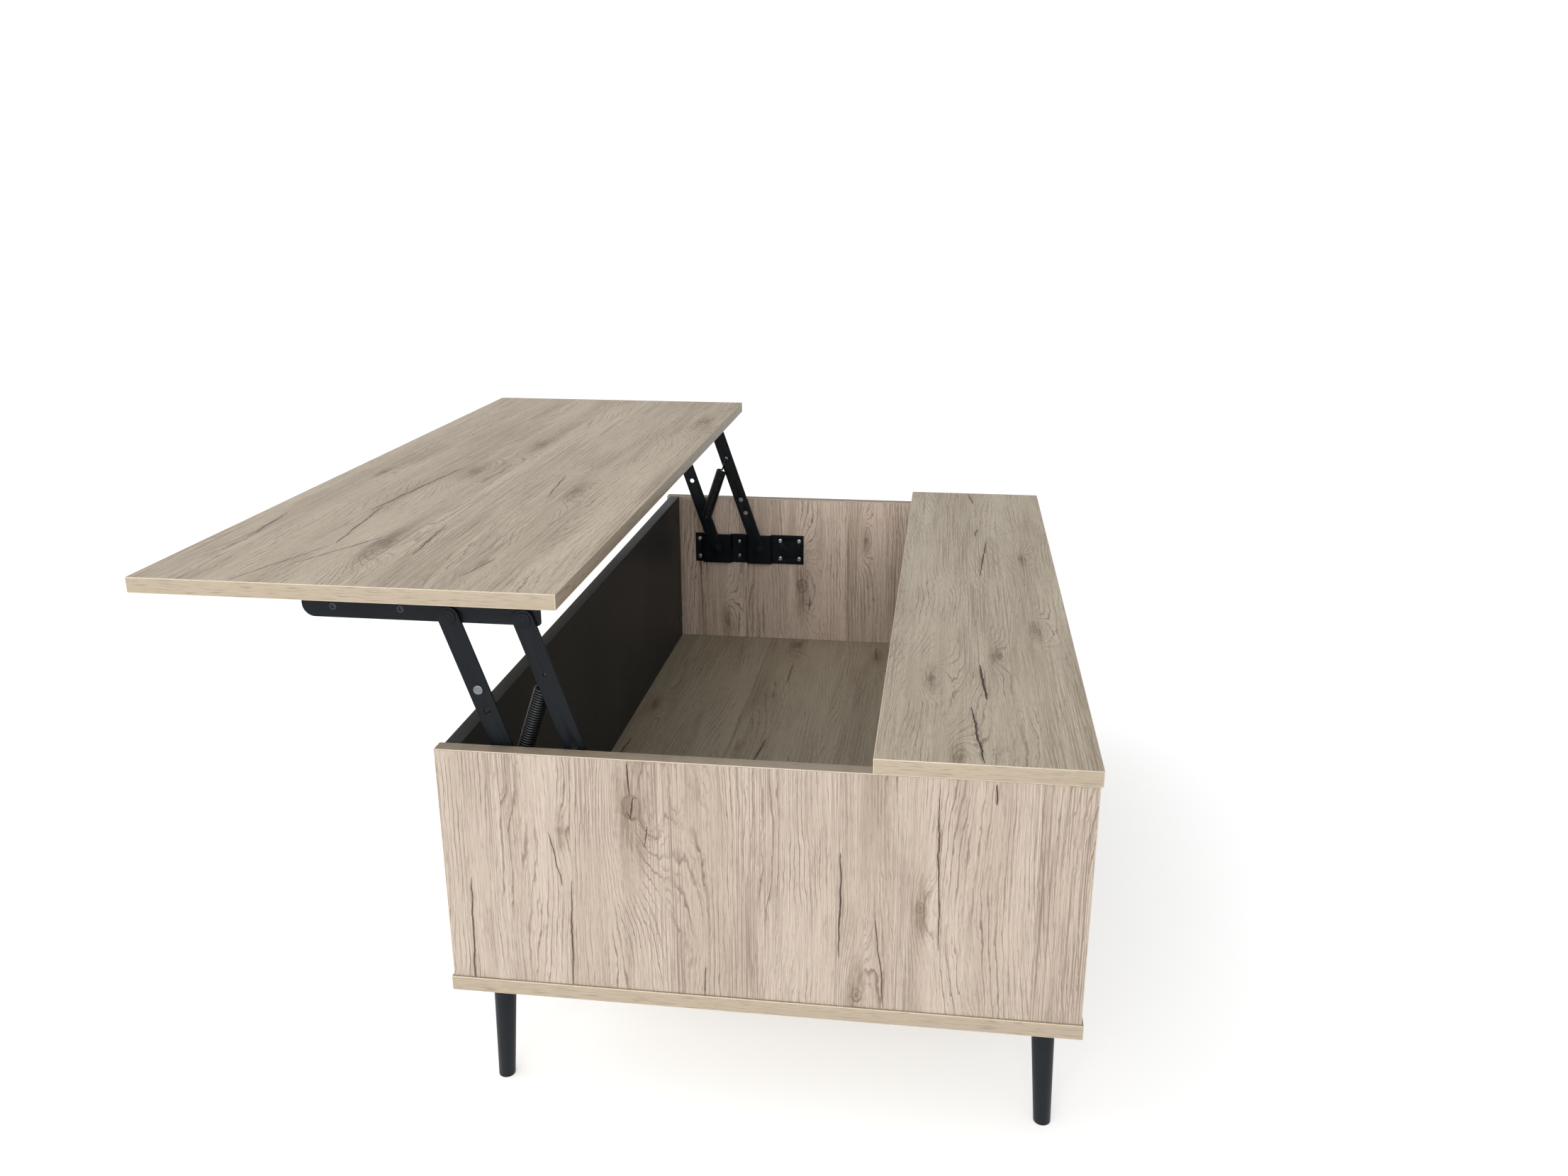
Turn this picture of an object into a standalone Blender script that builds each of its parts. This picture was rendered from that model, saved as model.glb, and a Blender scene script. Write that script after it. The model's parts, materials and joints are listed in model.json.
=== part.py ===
"""Lift top coffee table with a split top, a storage case and a spring lift mechanism.

Metres, +Z up. The origin is on the floor at the centre of the case. X runs along the
table's length, -Y is the side where one sits and the top comes forward, +Y is the rear.
The table stands with its top raised: the arms lean forward past upright, on their stop.
"""

import math

import bmesh
import bpy
from mathutils import Vector

# ---------------------------------------------------------------- driving dimensions

# case
TABLE_LENGTH = 1.000
TABLE_DEPTH = 0.600
BOARD_THICKNESS = 0.015
END_PANEL_HEIGHT = 0.240
END_PANEL_THICKNESS = 0.015
BOARD_OVERHANG = 0.002
INFILL_THICKNESS = 0.015
INFILL_INSET = 0.005
FIXED_TOP_DEPTH = 0.197
TOP_JOINT = 0.003
EDGE_BREAK = 0.0006
SEAT_GAP = 0.0003

# legs
LEG_HEIGHT = 0.140
LEG_TOP_RADIUS = 0.0120
LEG_FOOT_RADIUS = 0.0084
LEG_END_INSET = 0.058
LEG_SIDE_INSET = 0.025
LEG_SPLAY = math.radians(2.8)

# arms
ARM_LENGTH = 0.215
ARM_WIDTH = 0.020
ARM_THICKNESS = 0.003
OPEN_LEAN = math.radians(18.74)
PIVOT_SPACING = 0.070
PIVOT_BELOW_RIM = 0.0843
PIVOT_BELOW_TOP = 0.0195
FRONT_PIVOT_SETBACK = 0.0855
FRONT_ARM_HOLE_AT = 0.120
FRONT_ARM_HOLE_RADIUS = 0.0035
FRONT_ARM_STUD_AT = 0.142
REAR_ARM_HOLES_AT = (0.066, 0.089)
REAR_ARM_HOLE_RADIUS = 0.0037

# base plate, pressed into two raised bridges that carry the arms
PLATE_THICKNESS = 0.002
PLATE_HEIGHT = 0.0445
PLATE_AHEAD_OF_FRONT_PIVOT = 0.0345
PLATE_BEHIND_REAR_PIVOT = 0.0710
PLATE_CORNER_RADIUS = 0.003
BRIDGE_HEIGHT = 0.006
FRONT_BRIDGE_WIDTH = 0.0476
REAR_BRIDGE_WIDTH = 0.0410
BRIDGE_SLOPE = 0.003
PLATE_SCREW_AHEAD_OF_FRONT_PIVOT = 0.0295
PLATE_SCREWS_BEHIND_REAR_PIVOT = (0.0345, 0.0655)
PLATE_SCREW_SPREAD = 0.015
PLATE_RIVET_SPREAD = 0.012

# top rail, an angle screwed under the lift top
RAIL_THICKNESS = 0.0025
RAIL_FLANGE_HEIGHT = 0.025
RAIL_FOOT_WIDTH = 0.022
RAIL_AHEAD_OF_PIVOT = 0.140
RAIL_BEHIND_PIVOT = 0.0155
RAIL_BEND_RADIUS = 0.002
RAIL_NOSE_RADIUS = 0.012
RAIL_SCREWS_AT = (-0.115, 0.035)
FLANGE_SCREWS_AT = (-0.1104, -0.0459)
FLANGE_SCREW_DROP = 0.015

# pins, studs and screws
PIN_RADIUS = 0.004
PIN_HEAD_RADIUS = 0.0075
PIN_HEAD_HEIGHT = 0.0016
PIN_TAIL_RADIUS = 0.0060
PIN_TAIL_HEIGHT = 0.0012
STUD_RADIUS = 0.003
STUD_HEAD_RADIUS = 0.0045
STUD_HEAD_HEIGHT = 0.0010
SCREW_HEAD_RADIUS = 0.0038
SCREW_HEAD_HEIGHT = 0.0018
SCREW_SHANK_RADIUS = 0.0017
SCREW_LENGTH = 0.0125
RIVET_HEAD_RADIUS = 0.0032
RIVET_HEAD_HEIGHT = 0.0014
FLANGE_SCREW_LENGTH = 0.0070
RECESS_LENGTH = 0.0044
RECESS_WIDTH = 0.0009
RECESS_DEPTH = 0.0011

# spring
SPRING_OUTER_RADIUS = 0.00825
SPRING_WIRE_RADIUS = 0.00125
SPRING_TURN_GAP = 0.00025
SPRING_LOW_HOOK_AT = 0.052
SPRING_HIGH_HOOK_AT = 0.161
SPRING_LOW_REACH = 0.006
SPRING_HIGH_REACH = 0.020

# clearances
ARM_SIDE_GAP = 0.0005
PIN_CLEARANCE = 0.0003
SPRING_SIDE_GAP = 0.0006

# how far a blank runs past the outline that trims it
TRIM = 0.002

# mesh fineness
ROUND_STEPS = 16
ARC_STEPS = 12
SCREW_STEPS = 12
LEG_STEPS = 24
COIL_STEPS = 6

# ---------------------------------------------------------------- worked-out places

CASE_BOTTOM = LEG_HEIGHT
CASE_FLOOR = CASE_BOTTOM + BOARD_THICKNESS
PANEL_BASE = CASE_FLOOR + SEAT_GAP
RIM = PANEL_BASE + END_PANEL_HEIGHT
TOP_UNDERSIDE = RIM + SEAT_GAP
END_OUTSIDE = TABLE_LENGTH / 2 - BOARD_OVERHANG
END_INSIDE = END_OUTSIDE - END_PANEL_THICKNESS
LIFT_TOP_DEPTH = TABLE_DEPTH - FIXED_TOP_DEPTH - TOP_JOINT

FRONT_PIVOT = Vector((0, FRONT_PIVOT_SETBACK - TABLE_DEPTH / 2, RIM - PIVOT_BELOW_RIM))
REAR_PIVOT = FRONT_PIVOT + Vector((0, PIVOT_SPACING, 0))
CLOSED_RISE = TOP_UNDERSIDE - PIVOT_BELOW_TOP - FRONT_PIVOT.z
OPEN_RISE = ARM_LENGTH * math.cos(OPEN_LEAN)
OPEN_REACH = -ARM_LENGTH * math.sin(OPEN_LEAN)
CLOSED_REACH = math.sqrt(ARM_LENGTH**2 - CLOSED_RISE**2)
TRAVEL = CLOSED_REACH - OPEN_REACH
FRONT_TOP_PIVOT = FRONT_PIVOT + Vector((0, OPEN_REACH, OPEN_RISE))
OPEN_UNDERSIDE = TOP_UNDERSIDE + OPEN_RISE - CLOSED_RISE

# along Y from the front pivot, on the base plate
FRONT_BRIDGE = (-FRONT_BRIDGE_WIDTH / 2, FRONT_BRIDGE_WIDTH / 2)
REAR_BRIDGE = (PIVOT_SPACING - REAR_BRIDGE_WIDTH / 2, PIVOT_SPACING + REAR_BRIDGE_WIDTH / 2)
PLATE_REAR_END = PIVOT_SPACING + PLATE_BEHIND_REAR_PIVOT

# distances from the end panel's inner face towards the room
PLATE_BACK = SEAT_GAP
BRIDGE_FACE = PLATE_BACK + PLATE_THICKNESS + BRIDGE_HEIGHT
ARM_BACK = BRIDGE_FACE + ARM_SIDE_GAP
ARM_FACE = ARM_BACK + ARM_THICKNESS
RAIL_BACK = ARM_FACE + ARM_SIDE_GAP
RAIL_FACE = RAIL_BACK + RAIL_THICKNESS
COIL_RADIUS = SPRING_OUTER_RADIUS - SPRING_WIRE_RADIUS
SPRING_AXIS = ARM_FACE + SPRING_SIDE_GAP + SPRING_OUTER_RADIUS
HOOK_END = ARM_BACK + 0.3 * ARM_THICKNESS


# ---------------------------------------------------------------- scene and materials


def clear_scene():
    """Remove whatever objects the file opened with."""
    for item in list(bpy.data.objects):
        bpy.data.objects.remove(item, do_unlink=True)


def make_collection(name):
    """Make a collection under the scene's own."""
    collection = bpy.data.collections.new(name)
    bpy.context.scene.collection.children.link(collection)
    return collection


def make_material(name, colour, roughness, metallic):
    """Make a Principled material from its colour, roughness and metallic value."""
    material = bpy.data.materials.new(name)
    material.use_nodes = True
    shader = material.node_tree.nodes["Principled BSDF"]
    shader.inputs["Base Color"].default_value = (*colour, 1)
    shader.inputs["Roughness"].default_value = roughness
    shader.inputs["Metallic"].default_value = metallic
    return material


# ---------------------------------------------------------------- outlines


def arc(centre, radius, start, end, steps):
    """Points along an arc, both ends included, angles in radians."""
    points = []
    for step in range(steps + 1):
        angle = start + (end - start) * step / steps
        points.append((centre[0] + radius * math.cos(angle), centre[1] + radius * math.sin(angle)))
    return points


def circle(centre, radius, steps=ROUND_STEPS):
    """Points of a whole circle."""
    return arc(centre, radius, 0, math.tau, steps)[:-1]


def stadium(length, radius):
    """Outline of a bar with round ends, its first end's centre at 0, 0, along +v."""
    near = arc((0, 0), radius, math.pi, math.tau, ARC_STEPS)
    far = arc((0, length), radius, 0, math.pi, ARC_STEPS)
    return near + far


def rounded_rectangle(low, high, radii):
    """Rectangle outline, radii from the low-low corner anticlockwise."""
    corners = ((low[0], low[1]), (high[0], low[1]), (high[0], high[1]), (low[0], high[1]))
    inward = ((1, 1), (-1, 1), (-1, -1), (1, -1))
    points = []
    for index, (corner, way, radius) in enumerate(zip(corners, inward, radii)):
        if radius == 0:
            points.append(corner)
            continue
        centre = (corner[0] + way[0] * radius, corner[1] + way[1] * radius)
        start = math.pi + index * math.pi / 2
        points += arc(centre, radius, start, start + math.pi / 2, ARC_STEPS // 3)
    return points


# ---------------------------------------------------------------- mesh makers


def face_outward(shape):
    """Point the faces of a closed shape outward."""
    bmesh.ops.recalc_face_normals(shape, faces=shape.faces)
    if shape.calc_volume(signed=True) < 0:
        bmesh.ops.reverse_faces(shape, faces=shape.faces)


def moved_mesh(mesh, move):
    """Move each vertex of a mesh by a function of its place and face it outward again."""
    shape = bmesh.new()
    shape.from_mesh(mesh)
    for vertex in shape.verts:
        vertex.co = move(vertex.co)
    face_outward(shape)
    shape.to_mesh(mesh)
    shape.free()
    return mesh


def clean_mesh(source, name):
    """Turn an object's evaluated shape into a welded mesh and remove the object."""
    depsgraph = bpy.context.evaluated_depsgraph_get()
    mesh = bpy.data.meshes.new_from_object(source.evaluated_get(depsgraph))
    mesh.name = name
    shape = bmesh.new()
    shape.from_mesh(mesh)
    bmesh.ops.remove_doubles(shape, verts=shape.verts, dist=0.00001)
    face_outward(shape)
    shape.to_mesh(mesh)
    shape.free()
    bpy.data.objects.remove(source, do_unlink=True)
    return mesh


def flat_mesh(name, loops, thickness):
    """Flat plate or bar from an outline and its holes, in local X and Y, centred on Z."""
    curve = bpy.data.curves.new(name, "CURVE")
    curve.dimensions = "2D"
    curve.fill_mode = "BOTH"
    curve.extrude = thickness / 2
    for loop in loops:
        spline = curve.splines.new("POLY")
        spline.points.add(len(loop) - 1)
        for point, (u, v) in zip(spline.points, loop):
            point.co = (u, v, 0, 1)
        spline.use_cyclic_u = True
    holder = bpy.data.objects.new(name, curve)
    bpy.context.scene.collection.objects.link(holder)
    mesh = clean_mesh(holder, name)
    mesh.shade_flat()
    return mesh


def tube_mesh(name, points, radius, bevel_resolution):
    """Round wire along points, with filled caps."""
    curve = bpy.data.curves.new(name, "CURVE")
    curve.dimensions = "3D"
    curve.bevel_depth = radius
    curve.bevel_resolution = bevel_resolution
    curve.use_fill_caps = True
    spline = curve.splines.new("POLY")
    spline.points.add(len(points) - 1)
    for point, place in zip(spline.points, points):
        point.co = (*place, 1)
    holder = bpy.data.objects.new(name, curve)
    bpy.context.scene.collection.objects.link(holder)
    return clean_mesh(holder, name)


def turned_mesh(name, profile, steps=ROUND_STEPS):
    """Turn a profile of (radius, height), from top to bottom, about local Z."""
    mesh = bpy.data.meshes.new(name)
    edges = [(index, index + 1) for index in range(len(profile) - 1)]
    mesh.from_pydata([(radius, 0, height) for radius, height in profile], edges, [])
    holder = bpy.data.objects.new(name, mesh)
    bpy.context.scene.collection.objects.link(holder)
    screw = holder.modifiers.new("turn", "SCREW")
    screw.steps = steps
    screw.render_steps = steps
    screw.use_merge_vertices = True
    screw.merge_threshold = 0.00001
    screw.use_smooth_shade = False
    turned = clean_mesh(holder, name)
    turned.shade_smooth()
    turned.set_sharp_from_angle(angle=math.radians(35))
    return turned


def box_mesh(name, size):
    """Box centred on its own origin."""
    mesh = bpy.data.meshes.new(name)
    shape = bmesh.new()
    bmesh.ops.create_cube(shape, size=1)
    bmesh.ops.scale(shape, verts=shape.verts, vec=size)
    shape.to_mesh(mesh)
    shape.free()
    return mesh


def joined_mesh(name, pieces):
    """One mesh from (mesh, matrix) pieces."""
    shape = bmesh.new()
    for mesh, matrix in pieces:
        start = len(shape.verts)
        shape.from_mesh(mesh)
        shape.verts.ensure_lookup_table()
        bmesh.ops.transform(shape, matrix=matrix, verts=shape.verts[start:])
    mesh = bpy.data.meshes.new(name)
    shape.to_mesh(mesh)
    shape.free()
    return mesh


# ---------------------------------------------------------------- object makers


class Workshop:
    """Collections, materials and the functions that place a piece in them."""

    def __init__(self):
        self.parts = make_collection("lift_top_coffee_table")
        self.guides = make_collection("cutters")
        self.oak = make_material("oak_board", (0.56, 0.47, 0.36), 0.55, 0)
        self.black_board = make_material("black_board", (0.035, 0.037, 0.034), 0.5, 0)
        self.leg_paint = make_material("leg_paint", (0.030, 0.038, 0.044), 0.45, 0.2)
        self.black_steel = make_material("black_steel", (0.018, 0.022, 0.027), 0.4, 0.6)
        self.zinc = make_material("zinc_screw", (0.60, 0.60, 0.58), 0.3, 1)
        self.spring_steel = make_material("spring_steel", (0.05, 0.05, 0.05), 0.3, 0.9)

    def empty(self, name, place, parent=None):
        """Make an empty that carries pieces, at a place in its parent."""
        item = bpy.data.objects.new(name, None)
        item.location = place
        item.parent = parent
        self.parts.objects.link(item)
        return item

    def piece(self, name, mesh, material, parent=None, place=(0, 0, 0), turn=(0, 0, 0)):
        """Make one sub-part from a mesh."""
        item = bpy.data.objects.new(name, mesh)
        if not mesh.materials:
            mesh.materials.append(material)
        item.location = place
        item.rotation_euler = turn
        item.parent = parent
        self.parts.objects.link(item)
        return item

    def cutter(self, name, mesh, parent=None, place=(0, 0, 0), turn=(0, 0, 0)):
        """Make a hidden shape that Booleans use."""
        item = bpy.data.objects.new(name, mesh)
        item.location = place
        item.rotation_euler = turn
        item.parent = parent
        item.display_type = "WIRE"
        item.hide_render = True
        self.guides.objects.link(item)
        return item

    def cut(self, item, cutter, operation="DIFFERENCE"):
        """Add an exact Boolean."""
        modifier = item.modifiers.new(operation.lower(), "BOOLEAN")
        modifier.operation = operation
        modifier.object = cutter
        modifier.solver = "EXACT"

    def board(self, name, size, centre, material, parent=None):
        """Board with its edges slightly broken."""
        item = self.piece(name, box_mesh(name, size), material, parent, centre)
        bevel = item.modifiers.new("edge", "BEVEL")
        bevel.width = EDGE_BREAK
        bevel.segments = 1
        return item


# ---------------------------------------------------------------- case and legs


def make_case(shop):
    """Bottom board, two end panels, front and rear infills and the fixed top."""
    middle = CASE_BOTTOM + BOARD_THICKNESS / 2
    slab = (TABLE_LENGTH, TABLE_DEPTH, BOARD_THICKNESS)
    shop.board("bottom_board", slab, (0, 0, middle), shop.oak)

    panel_centre = PANEL_BASE + END_PANEL_HEIGHT / 2
    end_size = (END_PANEL_THICKNESS, TABLE_DEPTH - 2 * BOARD_OVERHANG, END_PANEL_HEIGHT)
    end_x = END_OUTSIDE - END_PANEL_THICKNESS / 2
    ends = {}
    for side, sign in (("right", 1), ("left", -1)):
        place = (sign * end_x, 0, panel_centre)
        ends[side] = shop.board(f"{side}_end_panel", end_size, place, shop.oak)

    infill_size = (2 * (END_INSIDE - SEAT_GAP), INFILL_THICKNESS, END_PANEL_HEIGHT)
    infill_y = TABLE_DEPTH / 2 - BOARD_OVERHANG - INFILL_INSET - INFILL_THICKNESS / 2
    for name, sign in (("front_panel", -1), ("rear_panel", 1)):
        shop.board(name, infill_size, (0, sign * infill_y, panel_centre), shop.black_board)

    fixed_y = TABLE_DEPTH / 2 - FIXED_TOP_DEPTH / 2
    fixed_size = (TABLE_LENGTH, FIXED_TOP_DEPTH, BOARD_THICKNESS)
    shop.board("fixed_top", fixed_size, (0, fixed_y, TOP_UNDERSIDE + BOARD_THICKNESS / 2), shop.oak)
    return ends


def make_legs(shop):
    """Four tapered round legs, splayed forwards and backwards, cut level at both ends."""
    over = LEG_TOP_RADIUS
    taper = (LEG_TOP_RADIUS - LEG_FOOT_RADIUS) / LEG_HEIGHT
    profile = [
        (0, LEG_HEIGHT + over),
        (LEG_TOP_RADIUS + taper * over, LEG_HEIGHT + over),
        (LEG_FOOT_RADIUS - taper * over, -over),
        (0, -over),
    ]
    height = LEG_HEIGHT - SEAT_GAP
    slab = box_mesh("leg_slab", (1.2 * TABLE_LENGTH, 1.2 * TABLE_DEPTH, height))
    level = shop.cutter("leg_level", slab, place=(0, 0, height / 2))
    for row, y_sign in (("front", -1), ("rear", 1)):
        for side, x_sign in (("right", 1), ("left", -1)):
            foot = (
                x_sign * (TABLE_LENGTH / 2 - LEG_END_INSET),
                y_sign * (TABLE_DEPTH / 2 - LEG_SIDE_INSET),
                0,
            )
            mesh = turned_mesh(f"{row}_{side}_leg", profile, LEG_STEPS)
            leg = shop.piece(f"{row}_{side}_leg", mesh, shop.leg_paint, place=foot)
            leg.rotation_euler.x = y_sign * LEG_SPLAY
            shop.cut(leg, level, "INTERSECT")


# ---------------------------------------------------------------- fasteners


def cross_recess():
    """Cross-shaped driver recess, a little taller than it is deep."""
    size = (RECESS_LENGTH, RECESS_WIDTH, 2 * RECESS_DEPTH)
    outline = []
    long_half = size[0] / 2
    short_half = size[1] / 2
    for turn in range(4):
        cos, sin = math.cos(turn * math.pi / 2), math.sin(turn * math.pi / 2)
        for u, v in ((short_half, short_half), (long_half, short_half), (long_half, -short_half)):
            outline.append((u * cos - v * sin, u * sin + v * cos))
    ordered = sorted(outline, key=lambda point: math.atan2(point[1], point[0]))
    return flat_mesh("recess", [ordered], size[2])


def recessed(shop, mesh, top):
    """Cut a driver recess into a turned screw whose head's top is at the given height."""
    blank = bpy.data.objects.new(mesh.name, mesh)
    bpy.context.scene.collection.objects.link(blank)
    half_step = (0, 0, math.pi / SCREW_STEPS)
    tool = shop.cutter("recess_tool", cross_recess(), place=(0, 0, top), turn=half_step)
    shop.cut(blank, tool)
    bpy.context.view_layer.update()
    driven = clean_mesh(blank, mesh.name)
    bpy.data.objects.remove(tool, do_unlink=True)
    return driven


def pan_screw_mesh(shop):
    """Wood screw with a low round head; its seat is at local Z = 0 and it points down."""
    profile = [
        (0, SCREW_HEAD_HEIGHT),
        (0.65 * SCREW_HEAD_RADIUS, SCREW_HEAD_HEIGHT),
        (SCREW_HEAD_RADIUS, 0.5 * SCREW_HEAD_HEIGHT),
        (SCREW_HEAD_RADIUS, 0),
        (SCREW_SHANK_RADIUS, 0),
        (SCREW_SHANK_RADIUS, -SCREW_LENGTH + 2 * SCREW_SHANK_RADIUS),
        (0, -SCREW_LENGTH),
    ]
    return recessed(shop, turned_mesh("pan_screw", profile, SCREW_STEPS), SCREW_HEAD_HEIGHT)


def flush_screw_mesh(shop):
    """Short countersunk screw; its flat head's top is at local Z = 0 and it points down."""
    cone = SCREW_HEAD_RADIUS - SCREW_SHANK_RADIUS
    profile = [
        (0, 0),
        (SCREW_HEAD_RADIUS, 0),
        (SCREW_SHANK_RADIUS, -cone),
        (SCREW_SHANK_RADIUS, -FLANGE_SCREW_LENGTH),
        (0, -FLANGE_SCREW_LENGTH),
    ]
    return recessed(shop, turned_mesh("flush_screw", profile, SCREW_STEPS), 0)


def rivet_mesh():
    """Blind rivet through the base plate; its seat is at local Z = 0."""
    depth = PLATE_THICKNESS + SEAT_GAP
    profile = [
        (0, RIVET_HEAD_HEIGHT),
        (0.6 * RIVET_HEAD_RADIUS, RIVET_HEAD_HEIGHT),
        (RIVET_HEAD_RADIUS, 0.35 * RIVET_HEAD_HEIGHT),
        (RIVET_HEAD_RADIUS, 0),
        (SCREW_SHANK_RADIUS, 0),
        (SCREW_SHANK_RADIUS, -depth),
        (0, -depth),
    ]
    return turned_mesh("plate_rivet", profile, SCREW_STEPS)


def pin_profile(head_seat, tail_seat, radius, head, tail):
    """Headed pin along local Z; head and tail are (radius, height) beyond their seats."""
    head_radius, head_height = head
    tail_radius, tail_height = tail
    return [
        (0, head_seat + head_height),
        (0.72 * head_radius, head_seat + head_height),
        (head_radius, head_seat + 0.4 * head_height),
        (head_radius, head_seat),
        (radius, head_seat),
        (radius, tail_seat),
        (tail_radius, tail_seat),
        (tail_radius, tail_seat - tail_height),
        (0, tail_seat - tail_height),
    ]


# ---------------------------------------------------------------- one side's mechanism


class Side:
    """Places of one side's mechanism: sign is +1 on the right and -1 on the left."""

    def __init__(self, name, sign):
        self.name = name
        self.sign = sign
        # local Z of a piece turned this way points from the end panel into the room
        self.turn = (0, -sign * math.pi / 2, 0)

    def across(self, distance):
        """X of a point at a distance from the end panel's inner face."""
        return self.sign * (END_INSIDE - distance)

    def at(self, distance, y, z):
        """Point from its distance off the end panel and its Y and Z."""
        return (self.across(distance), y, z)


def upright_plate(name, loops, thickness):
    """Flat plate whose outline is given in Y and Z, centred on X = 0."""
    mesh = flat_mesh(name, loops, thickness)
    return moved_mesh(mesh, lambda place: Vector((place.z, place.x, place.y)))


def bridge_section():
    """Section of the pressed plate, as (distance from the panel, Y from the front pivot)."""
    slope_angle = math.atan2(BRIDGE_HEIGHT, BRIDGE_SLOPE)
    face_shift = PLATE_THICKNESS * math.tan(slope_angle / 2)
    front_end, rear_end = -PLATE_AHEAD_OF_FRONT_PIVOT - TRIM, PLATE_REAR_END + TRIM
    back = [(0, front_end)]
    face = [(PLATE_THICKNESS, front_end)]
    for low, high in (FRONT_BRIDGE, REAR_BRIDGE):
        back += [(0, low), (BRIDGE_HEIGHT, low + BRIDGE_SLOPE)]
        back += [(BRIDGE_HEIGHT, high - BRIDGE_SLOPE), (0, high)]
        raised = PLATE_THICKNESS + BRIDGE_HEIGHT
        face += [(PLATE_THICKNESS, low - face_shift), (raised, low + BRIDGE_SLOPE - face_shift)]
        face += [(raised, high - BRIDGE_SLOPE + face_shift), (PLATE_THICKNESS, high + face_shift)]
    back.append((0, rear_end))
    face.append((PLATE_THICKNESS, rear_end))
    return back + face[::-1]


def plate_screw_places():
    """Y and Z of the base plate's screws, front to rear and top to bottom."""
    columns = [-PLATE_SCREW_AHEAD_OF_FRONT_PIVOT]
    columns += [PIVOT_SPACING + behind for behind in PLATE_SCREWS_BEHIND_REAR_PIVOT]
    places = []
    for column in columns:
        for row in (1, -1):
            places.append((FRONT_PIVOT.y + column, FRONT_PIVOT.z + row * PLATE_SCREW_SPREAD))
    return places


def plate_rivet_places():
    """Y and Z of the base plate's two rivets, midway between its bridges."""
    y = FRONT_PIVOT.y + (FRONT_BRIDGE[1] + REAR_BRIDGE[0]) / 2
    return [(y, FRONT_PIVOT.z + row * PLATE_RIVET_SPREAD) for row in (1, -1)]


def make_base_plate(shop, side):
    """Pressed steel plate on the end panel: its section cut to its outline and holes."""
    name = f"{side.name}_base_plate"
    mesh = flat_mesh(name, [bridge_section()], PLATE_HEIGHT + 2 * TRIM)
    moved_mesh(mesh, lambda place: Vector((-side.sign * place.x, place.y, place.z)))
    place = side.at(PLATE_BACK, FRONT_PIVOT.y, FRONT_PIVOT.z)
    plate = shop.piece(name, mesh, shop.black_steel, place=place)

    low = (-PLATE_AHEAD_OF_FRONT_PIVOT, -PLATE_HEIGHT / 2)
    high = (PLATE_REAR_END, PLATE_HEIGHT / 2)
    outline = rounded_rectangle(low, high, [PLATE_CORNER_RADIUS] * 4)
    hole = PIN_RADIUS + PIN_CLEARANCE
    loops = [outline, circle((0, 0), hole), circle((PIVOT_SPACING, 0), hole)]
    for y, z in plate_screw_places() + plate_rivet_places():
        centre = (y - FRONT_PIVOT.y, z - FRONT_PIVOT.z)
        loops.append(circle(centre, SCREW_SHANK_RADIUS + PIN_CLEARANCE, SCREW_STEPS))
    face = upright_plate(f"{name}_face", loops, 4 * BRIDGE_FACE)
    shop.cut(plate, shop.cutter(f"{name}_face", face, place=place), "INTERSECT")


def make_arm(shop, side, name, axis, holes):
    """Flat bar with round ends, leaning forward about its lower pivot."""
    loops = [stadium(ARM_LENGTH, ARM_WIDTH / 2)]
    for along, radius in holes:
        loops.append(circle((0, along), radius))
    mesh = upright_plate(name, loops, ARM_THICKNESS)
    place = (side.across(ARM_BACK + ARM_THICKNESS / 2), 0, 0)
    arm = shop.piece(name, mesh, shop.black_steel, axis, place)
    arm.rotation_euler.x = OPEN_LEAN
    return arm


def make_arms(shop, side, front_axis, rear_axis):
    """Front and rear arm with their pivot, hook and plain holes, and the front arm's stud."""
    pivot = PIN_RADIUS + PIN_CLEARANCE
    hook = SPRING_WIRE_RADIUS + 2 * PIN_CLEARANCE
    ends = [(0, pivot), (ARM_LENGTH, pivot)]
    front_holes = ends + [
        (SPRING_LOW_HOOK_AT, hook),
        (FRONT_ARM_HOLE_AT, FRONT_ARM_HOLE_RADIUS),
        (FRONT_ARM_STUD_AT, STUD_RADIUS + PIN_CLEARANCE),
    ]
    rear_holes = ends + [(SPRING_HIGH_HOOK_AT, hook)]
    rear_holes += [(along, REAR_ARM_HOLE_RADIUS) for along in REAR_ARM_HOLES_AT]
    front = make_arm(shop, side, f"{side.name}_front_arm", front_axis, front_holes)
    make_arm(shop, side, f"{side.name}_rear_arm", rear_axis, rear_holes)

    half = ARM_THICKNESS / 2 + SEAT_GAP
    head = (STUD_HEAD_RADIUS, STUD_HEAD_HEIGHT)
    profile = pin_profile(half, -half, STUD_RADIUS, head, head)
    mesh = turned_mesh(f"{side.name}_arm_stud", profile)
    place = (0, 0, FRONT_ARM_STUD_AT)
    shop.piece(f"{side.name}_arm_stud", mesh, shop.zinc, front, place, side.turn)


def make_base_pins(shop, side):
    """Pins that carry the arms on the base plate's bridges."""
    tail_seat = PLATE_BACK + BRIDGE_HEIGHT - SEAT_GAP
    head_seat = ARM_FACE + SEAT_GAP
    tail = (PIN_TAIL_RADIUS, PIN_TAIL_HEIGHT)
    profile = pin_profile(head_seat, tail_seat, PIN_RADIUS, (PIN_HEAD_RADIUS, PIN_HEAD_HEIGHT), tail)
    for row, pivot in (("front", FRONT_PIVOT), ("rear", REAR_PIVOT)):
        name = f"{side.name}_{row}_base_pin"
        place = side.at(0, pivot.y, pivot.z)
        shop.piece(name, turned_mesh(name, profile), shop.black_steel, None, place, side.turn)


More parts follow.
